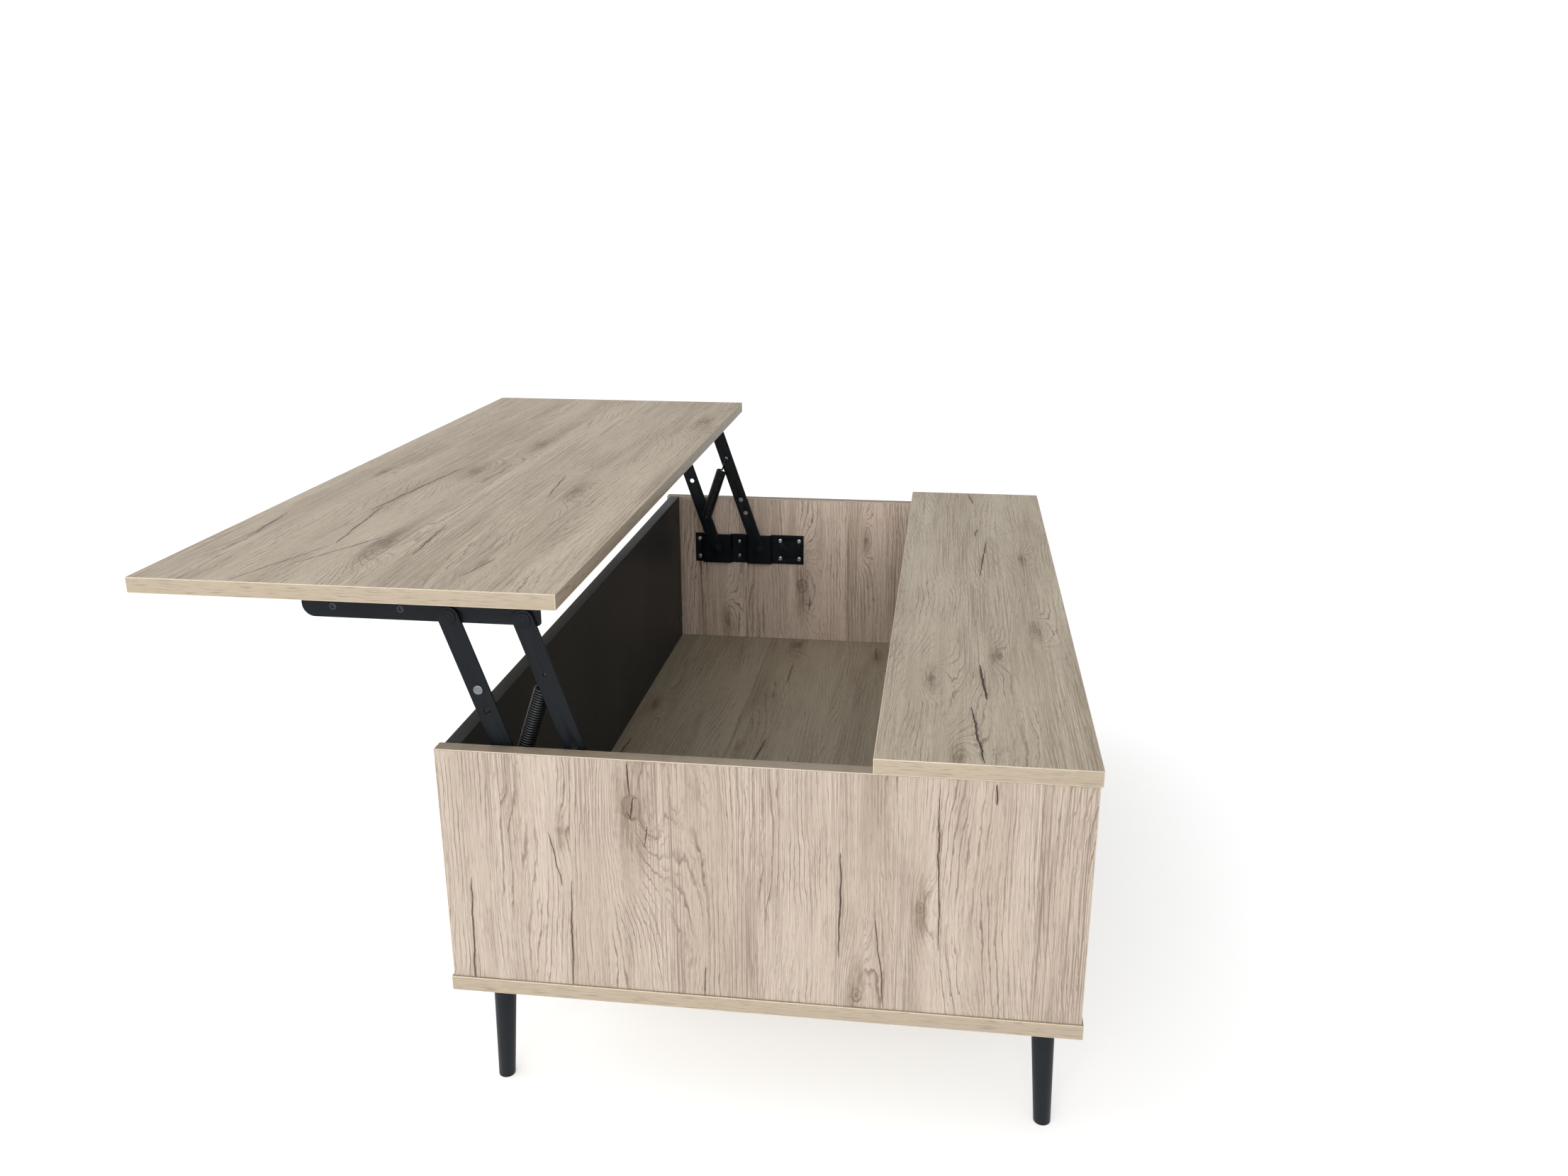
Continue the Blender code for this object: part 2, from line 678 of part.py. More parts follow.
def make_top_pins(shop, side, top_frame):
    """Pins that join the arms to the top rail, their heads towards the end panel."""
    head_seat = -(ARM_BACK - SEAT_GAP)
    tail_seat = -(RAIL_FACE + SEAT_GAP)
    tail = (PIN_TAIL_RADIUS, PIN_TAIL_HEIGHT)
    profile = pin_profile(head_seat, tail_seat, PIN_RADIUS, (PIN_HEAD_RADIUS, PIN_HEAD_HEIGHT), tail)
    towards_panel = (0, side.sign * math.pi / 2, 0)
    for row, behind in (("front", 0), ("rear", PIVOT_SPACING)):
        name = f"{side.name}_{row}_top_pin"
        place = (side.across(0), behind, 0)
        shop.piece(name, turned_mesh(name, profile), shop.black_steel, top_frame, place, towards_panel)


def rail_section(side):
    """Section of the angle in X and Z: flange down the arm side, foot under the board."""
    back, top = 0, PIVOT_BELOW_TOP - SEAT_GAP
    low = top - RAIL_FLANGE_HEIGHT - TRIM
    inner = RAIL_BEND_RADIUS
    outer = RAIL_BEND_RADIUS + RAIL_THICKNESS
    section = [(back, low), (back + RAIL_THICKNESS, low)]
    bend = (back + outer, top - outer)
    section += arc(bend, inner, math.pi, math.pi / 2, 4)
    section += [(back + RAIL_FOOT_WIDTH, top - RAIL_THICKNESS), (back + RAIL_FOOT_WIDTH, top)]
    section += arc(bend, outer, math.pi / 2, math.pi, 4)
    return [(-side.sign * u, v) for u, v in section]


def make_top_rail(shop, side, top_frame):
    """Steel angle under the lift top, cut to its outline, pivot holes and screw holes."""
    length = RAIL_AHEAD_OF_PIVOT + PIVOT_SPACING + RAIL_BEHIND_PIVOT
    middle = length / 2 - RAIL_AHEAD_OF_PIVOT
    name = f"{side.name}_top_rail"
    mesh = flat_mesh(name, [rail_section(side)], length + 2 * TRIM)
    moved_mesh(mesh, lambda place: Vector((place.x, place.z + middle, place.y)))
    place = (side.across(RAIL_BACK), 0, 0)
    rail = shop.piece(name, mesh, shop.black_steel, top_frame, place)

    low = (-RAIL_AHEAD_OF_PIVOT, PIVOT_BELOW_TOP - SEAT_GAP - RAIL_FLANGE_HEIGHT)
    high = (PIVOT_SPACING + RAIL_BEHIND_PIVOT, 2 * PIVOT_BELOW_TOP)
    outline = rounded_rectangle(low, high, (RAIL_NOSE_RADIUS, PLATE_CORNER_RADIUS, 0, 0))
    pivot = PIN_RADIUS + PIN_CLEARANCE
    loops = [outline, circle((0, 0), pivot), circle((PIVOT_SPACING, 0), pivot)]
    face = upright_plate(f"{name}_face", loops, 4 * RAIL_FOOT_WIDTH)
    cutter = shop.cutter(f"{name}_face", face, top_frame, place)
    shop.cut(rail, cutter, "INTERSECT")

    # countersunk holes in the flange, plain holes in the foot
    cone = SCREW_HEAD_RADIUS - SCREW_SHANK_RADIUS
    wide = SCREW_HEAD_RADIUS + PIN_CLEARANCE
    narrow = SCREW_SHANK_RADIUS + PIN_CLEARANCE
    past = SCREW_HEAD_RADIUS
    sink = [(0, past), (wide, past), (wide, 0), (narrow, -cone), (narrow, -past), (0, -past)]
    sink_mesh = turned_mesh(f"{name}_sink", sink, SCREW_STEPS)
    towards_panel = (0, side.sign * math.pi / 2, 0)
    for index, along in enumerate(FLANGE_SCREWS_AT, 1):
        at = (side.across(RAIL_BACK), along, PIVOT_BELOW_TOP - FLANGE_SCREW_DROP)
        tool = shop.cutter(f"{name}_sink_{index}", sink_mesh, top_frame, at, towards_panel)
        shop.cut(rail, tool)
    bore = [(0, past), (narrow, past), (narrow, -past), (0, -past)]
    bore_mesh = turned_mesh(f"{name}_bore", bore, SCREW_STEPS)
    for index, at in enumerate(rail_screw_places(side), 1):
        tool = shop.cutter(f"{name}_bore_{index}", bore_mesh, top_frame, at)
        shop.cut(rail, tool)


def rail_screw_places(side):
    """Seats of the screws up through the rail's foot, from the front top pivot."""
    across = side.across(RAIL_FACE + RAIL_FOOT_WIDTH / 2)
    seat = PIVOT_BELOW_TOP - SEAT_GAP - RAIL_THICKNESS
    return [(across, along, seat) for along in RAIL_SCREWS_AT]


def spring_frame():
    """Low hook, direction to the high hook and distance, in Y and Z, with the top raised."""
    up = Vector((0, -math.sin(OPEN_LEAN), math.cos(OPEN_LEAN)))
    low = FRONT_PIVOT + SPRING_LOW_HOOK_AT * up
    high = REAR_PIVOT + SPRING_HIGH_HOOK_AT * up
    span = high - low
    return low, span.normalized(), span.length


def make_spring(shop, side, base_axis, tip_axis):
    """Coil with its low hook, and the high hook, from the front arm to the rear arm."""
    low, along, span = spring_frame()
    lean = math.atan2(-along.y, along.z)
    coil_length = span - SPRING_LOW_REACH - SPRING_HIGH_REACH
    inward = -side.sign
    to_hole = side.sign * (SPRING_AXIS - HOOK_END)
    near = side.sign * COIL_RADIUS

    points = [(to_hole, 0, 0), (near, 0, 0)]
    turns = int(coil_length / (2 * SPRING_WIRE_RADIUS + SPRING_TURN_GAP))
    steps = turns * COIL_STEPS
    for step in range(steps + 1):
        angle = math.tau * step / COIL_STEPS
        height = SPRING_LOW_REACH + coil_length * step / steps
        points.append((-inward * COIL_RADIUS * math.cos(angle), COIL_RADIUS * math.sin(angle), height))
    name = f"{side.name}_lift_spring"
    mesh = tube_mesh(name, points, SPRING_WIRE_RADIUS, 0)
    place = (side.across(SPRING_AXIS), 0, 0)
    coil = shop.piece(name, mesh, shop.spring_steel, base_axis, place)
    coil.rotation_euler.x = lean

    start = -SPRING_HIGH_REACH + 2 * SPRING_WIRE_RADIUS + SEAT_GAP
    hook = [(near, 0, start), (near, 0, 0), (to_hole, 0, 0)]
    name = f"{side.name}_spring_hook"
    mesh = tube_mesh(name, hook, SPRING_WIRE_RADIUS, 1)
    tip = shop.piece(name, mesh, shop.spring_steel, tip_axis, place)
    tip.rotation_euler.x = lean


def make_screws(shop, side, end_panel, lift_top, top_frame, meshes):
    """Screws and rivets of one side, and the pilot holes that take them."""
    pan, flush, rivet = meshes
    seat = PLATE_BACK + PLATE_THICKNESS + SEAT_GAP
    for index, (y, z) in enumerate(plate_screw_places(), 1):
        place = side.at(seat, y, z)
        shop.piece(f"{side.name}_plate_screw_{index}", pan, shop.zinc, None, place, side.turn)
    for index, (y, z) in enumerate(plate_rivet_places(), 1):
        place = side.at(seat, y, z)
        shop.piece(f"{side.name}_plate_rivet_{index}", rivet, shop.zinc, None, place, side.turn)

    upside_down = (math.pi, 0, 0)
    for index, at in enumerate(rail_screw_places(side), 1):
        place = Vector(at) - Vector((0, 0, SEAT_GAP))
        name = f"{side.name}_rail_screw_{index}"
        shop.piece(name, pan, shop.zinc, top_frame, place, upside_down)

    towards_panel = (0, side.sign * math.pi / 2, 0)
    for index, along in enumerate(FLANGE_SCREWS_AT, 1):
        at = (side.across(RAIL_BACK), along, PIVOT_BELOW_TOP - FLANGE_SCREW_DROP)
        name = f"{side.name}_flange_screw_{index}"
        shop.piece(name, flush, shop.zinc, top_frame, at, towards_panel)

    # pilot holes, one cutter for the end panel and one for the lift top
    radius = SCREW_SHANK_RADIUS + PIN_CLEARANCE
    reach = SCREW_LENGTH + SEAT_GAP
    profile = [(0, reach), (radius, reach), (radius, -reach), (0, -reach)]
    drill = turned_mesh("drill", profile, SCREW_STEPS)
    drills = []
    for y, z in plate_screw_places():
        probe = shop.cutter("probe", drill, None, side.at(seat, y, z), side.turn)
        bpy.context.view_layer.update()
        drills.append((drill, probe.matrix_world.copy()))
        bpy.data.objects.remove(probe, do_unlink=True)
    tool = shop.cutter(f"{side.name}_panel_drills", joined_mesh("panel_drills", drills))
    shop.cut(end_panel, tool)

    drills = []
    for at in rail_screw_places(side):
        probe = shop.cutter("probe", drill, top_frame, at)
        bpy.context.view_layer.update()
        drills.append((drill, probe.matrix_world.copy()))
        bpy.data.objects.remove(probe, do_unlink=True)
    tool = shop.cutter(f"{side.name}_top_drills", joined_mesh("top_drills", drills))
    shop.cut(lift_top, tool)


# ---------------------------------------------------------------- whole table


def main():
    """Build the table."""
    clear_scene()
    shop = Workshop()
    ends = make_case(shop)
    make_legs(shop)

    front_axis = shop.empty("front_arm_axis", FRONT_PIVOT)
    rear_axis = shop.empty("rear_arm_axis", REAR_PIVOT)
    top_frame = shop.empty("lift_top_axis", FRONT_TOP_PIVOT)
    low, along, span = spring_frame()
    base_axis = shop.empty("spring_base_axis", low)
    tip_axis = shop.empty("spring_tip_axis", low + span * along)

    front_edge = -TABLE_DEPTH / 2 - TRAVEL
    centre_y = front_edge + LIFT_TOP_DEPTH / 2 - FRONT_TOP_PIVOT.y
    centre_z = OPEN_UNDERSIDE + BOARD_THICKNESS / 2 - FRONT_TOP_PIVOT.z
    size = (TABLE_LENGTH, LIFT_TOP_DEPTH, BOARD_THICKNESS)
    lift_top = shop.board("lift_top", size, (0, centre_y, centre_z), shop.oak, top_frame)

    meshes = (pan_screw_mesh(shop), flush_screw_mesh(shop), rivet_mesh())
    for side in (Side("right", 1), Side("left", -1)):
        make_base_plate(shop, side)
        make_arms(shop, side, front_axis, rear_axis)
        make_base_pins(shop, side)
        make_top_pins(shop, side, top_frame)
        make_top_rail(shop, side, top_frame)
        make_spring(shop, side, base_axis, tip_axis)
        make_screws(shop, side, ends[side.name], lift_top, top_frame, meshes)


main()
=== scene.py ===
"""Lift top coffee table: boards, edge bands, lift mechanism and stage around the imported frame.

Metres, +Z up. The origin is on the floor at the centre of the case; X runs along the table,
-Y is the side where one sits. Every piece is made where it stands, with its object at the
origin, so that Object texture coordinates are places in the table's own frame.
"""

import json
import math

import bmesh
import bpy
from bpy.props import FloatProperty, FloatVectorProperty, IntProperty, PointerProperty
from bpy.types import NodeSocket, Operator, Panel, PropertyGroup
from mathutils import Matrix, Vector


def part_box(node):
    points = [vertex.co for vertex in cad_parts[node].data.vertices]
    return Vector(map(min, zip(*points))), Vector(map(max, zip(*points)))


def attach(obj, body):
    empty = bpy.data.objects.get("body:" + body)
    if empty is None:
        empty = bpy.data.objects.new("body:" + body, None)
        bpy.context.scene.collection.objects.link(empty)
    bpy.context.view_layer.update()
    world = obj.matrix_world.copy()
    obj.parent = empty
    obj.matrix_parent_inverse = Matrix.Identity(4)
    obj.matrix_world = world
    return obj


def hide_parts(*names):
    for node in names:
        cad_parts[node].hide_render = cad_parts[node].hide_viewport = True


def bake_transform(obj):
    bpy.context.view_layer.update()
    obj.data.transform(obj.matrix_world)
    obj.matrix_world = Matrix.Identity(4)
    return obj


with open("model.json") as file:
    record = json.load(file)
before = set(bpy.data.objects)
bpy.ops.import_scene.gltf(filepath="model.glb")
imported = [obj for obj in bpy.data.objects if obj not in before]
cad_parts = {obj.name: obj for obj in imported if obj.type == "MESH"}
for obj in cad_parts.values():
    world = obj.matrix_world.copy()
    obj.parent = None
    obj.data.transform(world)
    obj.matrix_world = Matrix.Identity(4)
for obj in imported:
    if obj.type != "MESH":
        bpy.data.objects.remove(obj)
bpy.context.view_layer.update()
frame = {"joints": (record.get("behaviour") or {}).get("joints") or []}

bl_info = {
    "name": "Lift Top Coffee Table",
    "version": (1, 0, 0),
    "blender": (4, 5, 0),
    "location": "3D View > Sidebar > Lift Top Table",
    "description": "Builds a lift top coffee table in oak-effect board around its frame",
    "category": "Object",
}


# ---------------------------------------------------------------- places taken from the frame

JOINTS = {joint["name"]: joint for joint in frame["joints"]}
FRONT_PIVOT = Vector(JOINTS["lift"]["pos_m"])
REAR_PIVOT = Vector(JOINTS["rear_arm_swing"]["pos_m"])
FRONT_TOP_PIVOT = Vector(JOINTS["top_level"]["pos_m"])
PIVOT_STEP = REAR_PIVOT - FRONT_PIVOT
PIVOT_SPACING = PIVOT_STEP.y
ARM_LINE = (FRONT_TOP_PIVOT - FRONT_PIVOT).normalized()
ARM_LENGTH = (FRONT_TOP_PIVOT - FRONT_PIVOT).length
SPRING_LOW = Vector(JOINTS["spring_turn"]["pos_m"])
SPRING_LINE = Vector(JOINTS["spring_stretch"]["axis"]).normalized()
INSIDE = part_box("right_end_panel")[0].x
TOP_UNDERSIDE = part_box("lift_top")[0].z
SIDES = (("right", 1), ("left", -1))

# ---------------------------------------------------------------- sizes of the mechanism

SEAT_GAP = 0.0003
PIN_CLEARANCE = 0.0003

PLATE_THICKNESS = 0.002
PLATE_HEIGHT = 0.0445
PLATE_AHEAD = 0.0345
PLATE_BEHIND = 0.0710
PLATE_CORNER = 0.003
BRIDGE_HEIGHT = 0.006
BRIDGE_SLOPE = 0.003
FRONT_BRIDGE_WIDTH = 0.0476
REAR_BRIDGE_WIDTH = 0.0410
BEND_RADIUS = 0.0012
PLATE_SCREW_AHEAD = 0.0295
PLATE_SCREWS_BEHIND = (0.0345, 0.0655)
PLATE_SCREW_SPREAD = 0.015
PLATE_RIVET_SPREAD = 0.012

ARM_WIDTH = 0.020
ARM_THICKNESS = 0.003
ARM_SIDE_GAP = 0.0005
FRONT_ARM_HOLE_AT = 0.120
FRONT_ARM_HOLE_RADIUS = 0.0035
FRONT_ARM_STUD_AT = 0.142
REAR_ARM_HOLES_AT = (0.066, 0.089)
REAR_ARM_HOLE_RADIUS = 0.0037
SPRING_LOW_HOOK_AT = 0.052
SPRING_HIGH_HOOK_AT = 0.161

RAIL_THICKNESS = 0.0025
RAIL_FLANGE_HEIGHT = 0.025
RAIL_FOOT_WIDTH = 0.022
RAIL_AHEAD = 0.140
RAIL_BEHIND = 0.0155
RAIL_BEND_RADIUS = 0.002
RAIL_NOSE_RADIUS = 0.012
RAIL_SCREWS_AT = (-0.115, 0.035)
FLANGE_SCREWS_AT = (-0.1104, -0.0459)
FLANGE_SCREW_DROP = 0.015

PIN_RADIUS = 0.004
PIN_HEAD_RADIUS = 0.0075
PIN_HEAD_HEIGHT = 0.0016
PIN_TAIL_RADIUS = 0.0060
PIN_TAIL_HEIGHT = 0.0012
STUD_RADIUS = 0.003
STUD_HEAD_RADIUS = 0.0045
STUD_HEAD_HEIGHT = 0.0010
SCREW_HEAD_RADIUS = 0.0038
SCREW_HEAD_HEIGHT = 0.0018
SCREW_SHANK_RADIUS = 0.0017
SCREW_LENGTH = 0.0125
FLANGE_SCREW_LENGTH = 0.0070
RIVET_HEAD_RADIUS = 0.0032
RIVET_HEAD_HEIGHT = 0.0014
RECESS_LENGTH = 0.0044
RECESS_WIDTH = 0.0009
RECESS_DEPTH = 0.0011

SPRING_LOW_REACH = 0.006
SPRING_HIGH_REACH = 0.020
SPRING_SIDE_GAP = 0.0006

LEG_TOP_RADIUS = 0.0120
LEG_FOOT_RADIUS = 0.0084
LEG_SPLAY = math.radians(2.8)
LEG_EDGE = 0.0008

CAM_LOCK_RADIUS = 0.0075
CAM_LOCK_HEIGHT = 0.0008
CAM_LOCK_FROM_END = 0.016
CAM_LOCK_FROM_EDGE = 0.036
CAM_LOCK_CHAMFER = 0.0012
CAM_LOCK_EDGE = 0.0004
CAM_RECESS_LENGTH = 0.0075
CAM_RECESS_WIDTH = 0.0016
CAM_RECESS_DEPTH = 0.0005

THREAD_PITCH = 0.0011
HOOK_CLEARANCE = 2 * PIN_CLEARANCE
HOOK_BEND_RADIUS = 0.0014
COIL_STEPS = 24
WIRE_RESOLUTION = 5
PLATE_SCREW_TURN = 0.7
FLANGE_SCREW_TURN = 0.9

# how far a blank reaches past its finished outline, and how near two points are one
BLANK_EXTRA = 0.002
WELD_DISTANCE = 0.000002

# distances from an end panel's inner face towards the room
PLATE_BACK = SEAT_GAP
BRIDGE_FACE = PLATE_BACK + PLATE_THICKNESS + BRIDGE_HEIGHT
ARM_BACK = BRIDGE_FACE + ARM_SIDE_GAP
ARM_FACE = ARM_BACK + ARM_THICKNESS
RAIL_BACK = ARM_FACE + ARM_SIDE_GAP
RAIL_FACE = RAIL_BACK + RAIL_THICKNESS
PIVOT_BELOW_TOP = TOP_UNDERSIDE - FRONT_TOP_PIVOT.z

# camera: where it stands and which way it looks
CAMERA_PLACE = Vector((1.5012, 0.157, 0.888))
CAMERA_YAW = -0.1309
CAMERA_PITCH = 0.3112
CAMERA_ROLL = -0.0012

# the room's light: its level straight overhead against the horizon, the direction that most
# of it comes from, and how its level runs along that direction
ZENITH_SHARE = 0.92
BRIGHT_SIDE = (0.45, -0.80, 0.0)
BRIGHT_SLOPE = 0.74
MIDDLE_LEVEL = 0.80

# lamps: place, target and width
KEY_LAMP = ((3.4, -0.3, 1.50), (0, -0.1, 0.30), 2.2)
FILL_LAMP = ((0.4, -1.8, 2.4), (0, 0, 0.3), 2.4)
FLOOR_HALF = 30.0

# the floor shines a little, and more to the camera, so that it stays pale under soft light
FLOOR_GLOW = 0.22
FLOOR_GLOW_SEEN = 0.46

# the oak decor: grain lines' figure on a board and on a band, and what share of its colour
# each layer of the print lays over the one below
BOARD_FIGURE = 19.0
BAND_FIGURE = 5.0
BAND_LINE_SPACING = 0.0045
SMOKE_SHARE = 0.26
STREAK_SHARE = 0.34
KNOT_SHADE_SHARE = 0.66
KNOT_HEART_SHARE = 0.92
BAND_TONE_SHARE = 0.30
BAND_STREAK_SHARE = 0.12
BAND_LINE_SHARE = 0.14
BAND_MARK_SHARE = 0.60
BOARD_RELIEF = 0.00012
BAND_RELIEF = 0.00006

# strength of the printed grain lines on upright and on level boards
UPRIGHT_LINES = 0.80
LEVEL_LINES = 0.64

# tints of the oak board by the side that shows: the case's outside and the tops take slight
# tints of the wood; the floor inside is darkened as painted shade, and the far end's inside,
# which gets the least light, is lightened as painted light
OUTSIDE_TINT = (0.95, 0.95, 0.96)
CASE_FLOOR_PAINTED_SHADE = (0.76, 0.80, 0.73)
FIXED_TOP_TINT = (0.96, 1.00, 0.95)
LIFT_TOP_TINT = (0.97, 0.99, 0.92)
FAR_INSIDE_PAINTED_LIGHT = (1.50, 1.47, 1.50)
# the end panels' upward top bands are darkened as painted shade
RIM_PAINTED_SHADE = 0.68
# the black panels' upward top bands are lightened as painted light
BLACK_BAND_PAINTED_LIGHT = 1.3

AXES = {"X": Vector((1, 0, 0)), "Y": Vector((0, 1, 0)), "Z": Vector((0, 0, 1))}
SIDE_WORDS = {"+X": "right", "-X": "left", "+Y": "rear", "-Y": "front", "+Z": "top"}
ALL_ROUND = ("+X", "-X", "+Y", "-Y")
TOP_AND_ENDS = ("+Z", "+Y", "-Y")


def srgb(red, green, blue):
    """Linear colour from a screen colour in steps of 0 to 255."""
    shares = (red / 255, green / 255, blue / 255)
    return tuple(s / 12.92 if s <= 0.04045 else ((s + 0.055) / 1.055) ** 2.4 for s in shares)


# ---------------------------------------------------------------- settings a user would change


class OakSettings(PropertyGroup):
    """Colours and figure of the oak-effect board and its edge bands."""

    light_colour: FloatVectorProperty(
        name="Light wood", description="Colour of the palest wood", subtype="COLOR",
        default=srgb(212, 196, 180), min=0, max=1)
    dark_colour: FloatVectorProperty(
        name="Dark wood", description="Colour of the darker bands of wood", subtype="COLOR",
        default=srgb(184, 167, 150), min=0, max=1)
    line_colour: FloatVectorProperty(
        name="Grain lines", description="Colour of the fine grain lines", subtype="COLOR",
        default=srgb(108, 89, 74), min=0, max=1)
    knot_colour: FloatVectorProperty(
        name="Knots", description="Colour of the knots' hearts", subtype="COLOR",
        default=srgb(112, 90, 72), min=0, max=1)
    crack_colour: FloatVectorProperty(
        name="Cracks", description="Colour of the printed cracks", subtype="COLOR",
        default=srgb(58, 42, 34), min=0, max=1)
    band_colour: FloatVectorProperty(
        name="Edge band", description="Colour of the edge bands", subtype="COLOR",
        default=srgb(179, 164, 142), min=0, max=1)
    trim_colour: FloatVectorProperty(
        name="Band trim", description="Colour of an edge band's trimmed edges", subtype="COLOR",
        default=srgb(222, 208, 184), min=0, max=1)
    line_spacing: FloatProperty(
        name="Grain line spacing", description="Distance between grain lines", unit="LENGTH",
        default=0.0040, min=0.001, max=0.02)
    plank_width: FloatProperty(
        name="Plank width", description="Width of the printed planks", unit="LENGTH",
        default=0.125, min=0.03, max=0.5)
    band_thickness: FloatProperty(
        name="Band thickness", description="Thickness of the edge bands", unit="LENGTH",
        default=0.0010, min=0.0004, max=0.003)
    band_radius: FloatProperty(
        name="Band radius", description="Rounding of the edge bands", unit="LENGTH",
        default=0.0006, min=0.0001, max=0.0009)


class BlackSettings(PropertyGroup):
    """Colours of the black boards, the coated steel, the legs and the metal fasteners."""

    board_colour: FloatVectorProperty(
        name="Black board", description="Colour of the front and rear panel", subtype="COLOR",
        default=srgb(41, 45, 46), min=0, max=1)
    steel_colour: FloatVectorProperty(
        name="Coated steel", description="Colour of arms, plates and rails", subtype="COLOR",
        default=srgb(17, 21, 26), min=0, max=1)
    # colour of the paler edges: partly worn coating and partly painted highlight
    worn_and_highlight_colour: FloatVectorProperty(
        name="Worn edge", description="Colour of the coating's worn edges", subtype="COLOR",
        default=srgb(60, 66, 72), min=0, max=1)
    leg_colour: FloatVectorProperty(
        name="Legs", description="Colour of the legs' paint", subtype="COLOR",
        default=srgb(26, 31, 36), min=0, max=1)
    zinc_colour: FloatVectorProperty(
        name="Zinc", description="Colour of screws, rivets and studs", subtype="COLOR",
        default=srgb(206, 209, 209), min=0, max=1)
    spring_colour: FloatVectorProperty(
        name="Spring wire", description="Colour of the spring wire", subtype="COLOR",
        default=srgb(62, 64, 66), min=0, max=1)
    edge_radius: FloatProperty(
        name="Steel edge radius", description="Rounding of the steel's cut edges",
        unit="LENGTH", default=0.00035, min=0.0001, max=0.001)


class SpringSettings(PropertyGroup):
    """Size of the two lift springs."""

    wire_radius: FloatProperty(
        name="Wire radius", description="Half the wire's thickness", unit="LENGTH",
        default=0.00125, min=0.0005, max=0.002)
    outer_radius: FloatProperty(
        name="Coil radius", description="Radius of the coil over its wire", unit="LENGTH",
        default=0.00825, min=0.004, max=0.012)
    turns: IntProperty(
        name="Turns", description="Number of turns of each coil", default=32, min=5, max=60)


class StageSettings(PropertyGroup):
    """Floor, lamps and camera."""

    floor_colour: FloatVectorProperty(
        name="Floor", description="Colour of the floor", subtype="COLOR",
        default=(0.86, 0.86, 0.86), min=0, max=1)
    sky_light: FloatProperty(
        name="Room light", description="Strength of the light from all around",
        default=0.98, min=0, max=5)
    key_power: FloatProperty(
        name="Key lamp", description="Power of the lamp beside the camera", unit="POWER",
        default=38.0, min=0, max=1000)
    fill_power: FloatProperty(
        name="Fill lamp", description="Power of the lamp over the table", unit="POWER",
        default=7.0, min=0, max=1000)
    lens: FloatProperty(
        name="Lens", description="Focal length on a 36 mm wide sensor, in millimetres",
        default=29.06, min=10, max=200)


# ---------------------------------------------------------------- outlines


def arc(centre, radius, start, end, steps):
    """Points along an arc, both ends included, angles in radians."""
    points = []
    for step in range(steps + 1):
        angle = start + (end - start) * step / steps
        across = centre[0] + radius * math.cos(angle)
        points.append((across, centre[1] + radius * math.sin(angle)))
    return points


def circle(centre, radius, steps=40):
    """Points of a whole circle."""
    return arc(centre, radius, 0, math.tau, steps)[:-1]


def stadium(length, radius, steps=24):
    """Outline of a bar with round ends, its first end's centre at 0, 0, along +v."""
    near = arc((0, 0), radius, math.pi, math.tau, steps)
    return near + arc((0, length), radius, 0, math.pi, steps)


def rounded_rectangle(low, high, radii, steps=6):
    """Rectangle outline, radii from the low-low corner anticlockwise."""
    corners = ((low[0], low[1]), (high[0], low[1]), (high[0], high[1]), (low[0], high[1]))
    inward = ((1, 1), (-1, 1), (-1, -1), (1, -1))
    points = []
    for index, (corner, way, radius) in enumerate(zip(corners, inward, radii)):
        if radius == 0:
            points.append(corner)
            continue
        centre = (corner[0] + way[0] * radius, corner[1] + way[1] * radius)
        start = math.pi + index * math.pi / 2
        points += arc(centre, radius, start, start + math.pi / 2, steps)
    return points


def filleted(points, radii, steps=5):
    """Open line of points with each inner corner rounded to its radius, 0 for a sharp one."""
    rounded = [Vector(points[0])]
    for index in range(1, len(points) - 1):
        corner = Vector(points[index])
        radius = radii[index]
        before = (Vector(points[index - 1]) - corner).normalized()
        after = (Vector(points[index + 1]) - corner).normalized()
        angle = before.angle(after)
        if radius == 0 or angle > math.pi - 0.01:
            rounded.append(corner)
            continue
        reach = radius / math.tan(angle / 2)
        centre = corner + (before + after).normalized() * radius / math.sin(angle / 2)
        first = corner + before * reach - centre
        last = corner + after * reach - centre
        for step in range(steps + 1):
            rounded.append(centre + radius * first.slerp(last, step / steps).normalized())
    rounded.append(Vector(points[-1]))
    return rounded


def strip_section(path, thickness):
    """Closed section of a sheet whose back follows a path, its face a thickness to the left."""
    face = []
    for index, point in enumerate(path):
        before = path[max(index - 1, 0)]
        after = path[min(index + 1, len(path) - 1)]
        arriving = (point - before).normalized() if index else (after - point).normalized()
        leaving = (after - point).normalized() if index < len(path) - 1 else arriving
        middle = (arriving + leaving).normalized()
        outward = Vector((-middle.y, middle.x))
        face.append(point + outward * thickness / middle.dot(arriving))
    return [tuple(point) for point in path] + [tuple(point) for point in reversed(face)]


# ---------------------------------------------------------------- mesh makers


def face_outward(shape):
    """Point the faces of a closed shape outward."""
    bmesh.ops.recalc_face_normals(shape, faces=shape.faces)
    if shape.calc_volume(signed=True) < 0:
        bmesh.ops.reverse_faces(shape, faces=shape.faces)


def shaded(mesh, angle=30):
    """Smooth a mesh but for the edges sharper than an angle in degrees."""
    mesh.shade_smooth()
    mesh.set_sharp_from_angle(angle=math.radians(angle))
    return mesh


def settled(source, name, matrix=None):
    """Welded mesh of an object's evaluated shape, moved by a matrix; the object is removed."""
    bpy.context.view_layer.update()
    depsgraph = bpy.context.evaluated_depsgraph_get()
    mesh = bpy.data.meshes.new_from_object(source.evaluated_get(depsgraph))
    mesh.name = name
    mesh.materials.clear()
    shape = bmesh.new()
    shape.from_mesh(mesh)
    bmesh.ops.remove_doubles(shape, verts=shape.verts, dist=WELD_DISTANCE)
    if matrix is not None:
        bmesh.ops.transform(shape, matrix=matrix, verts=shape.verts)
    face_outward(shape)
    shape.to_mesh(mesh)
    shape.free()
    bpy.data.objects.remove(source, do_unlink=True)
    return mesh


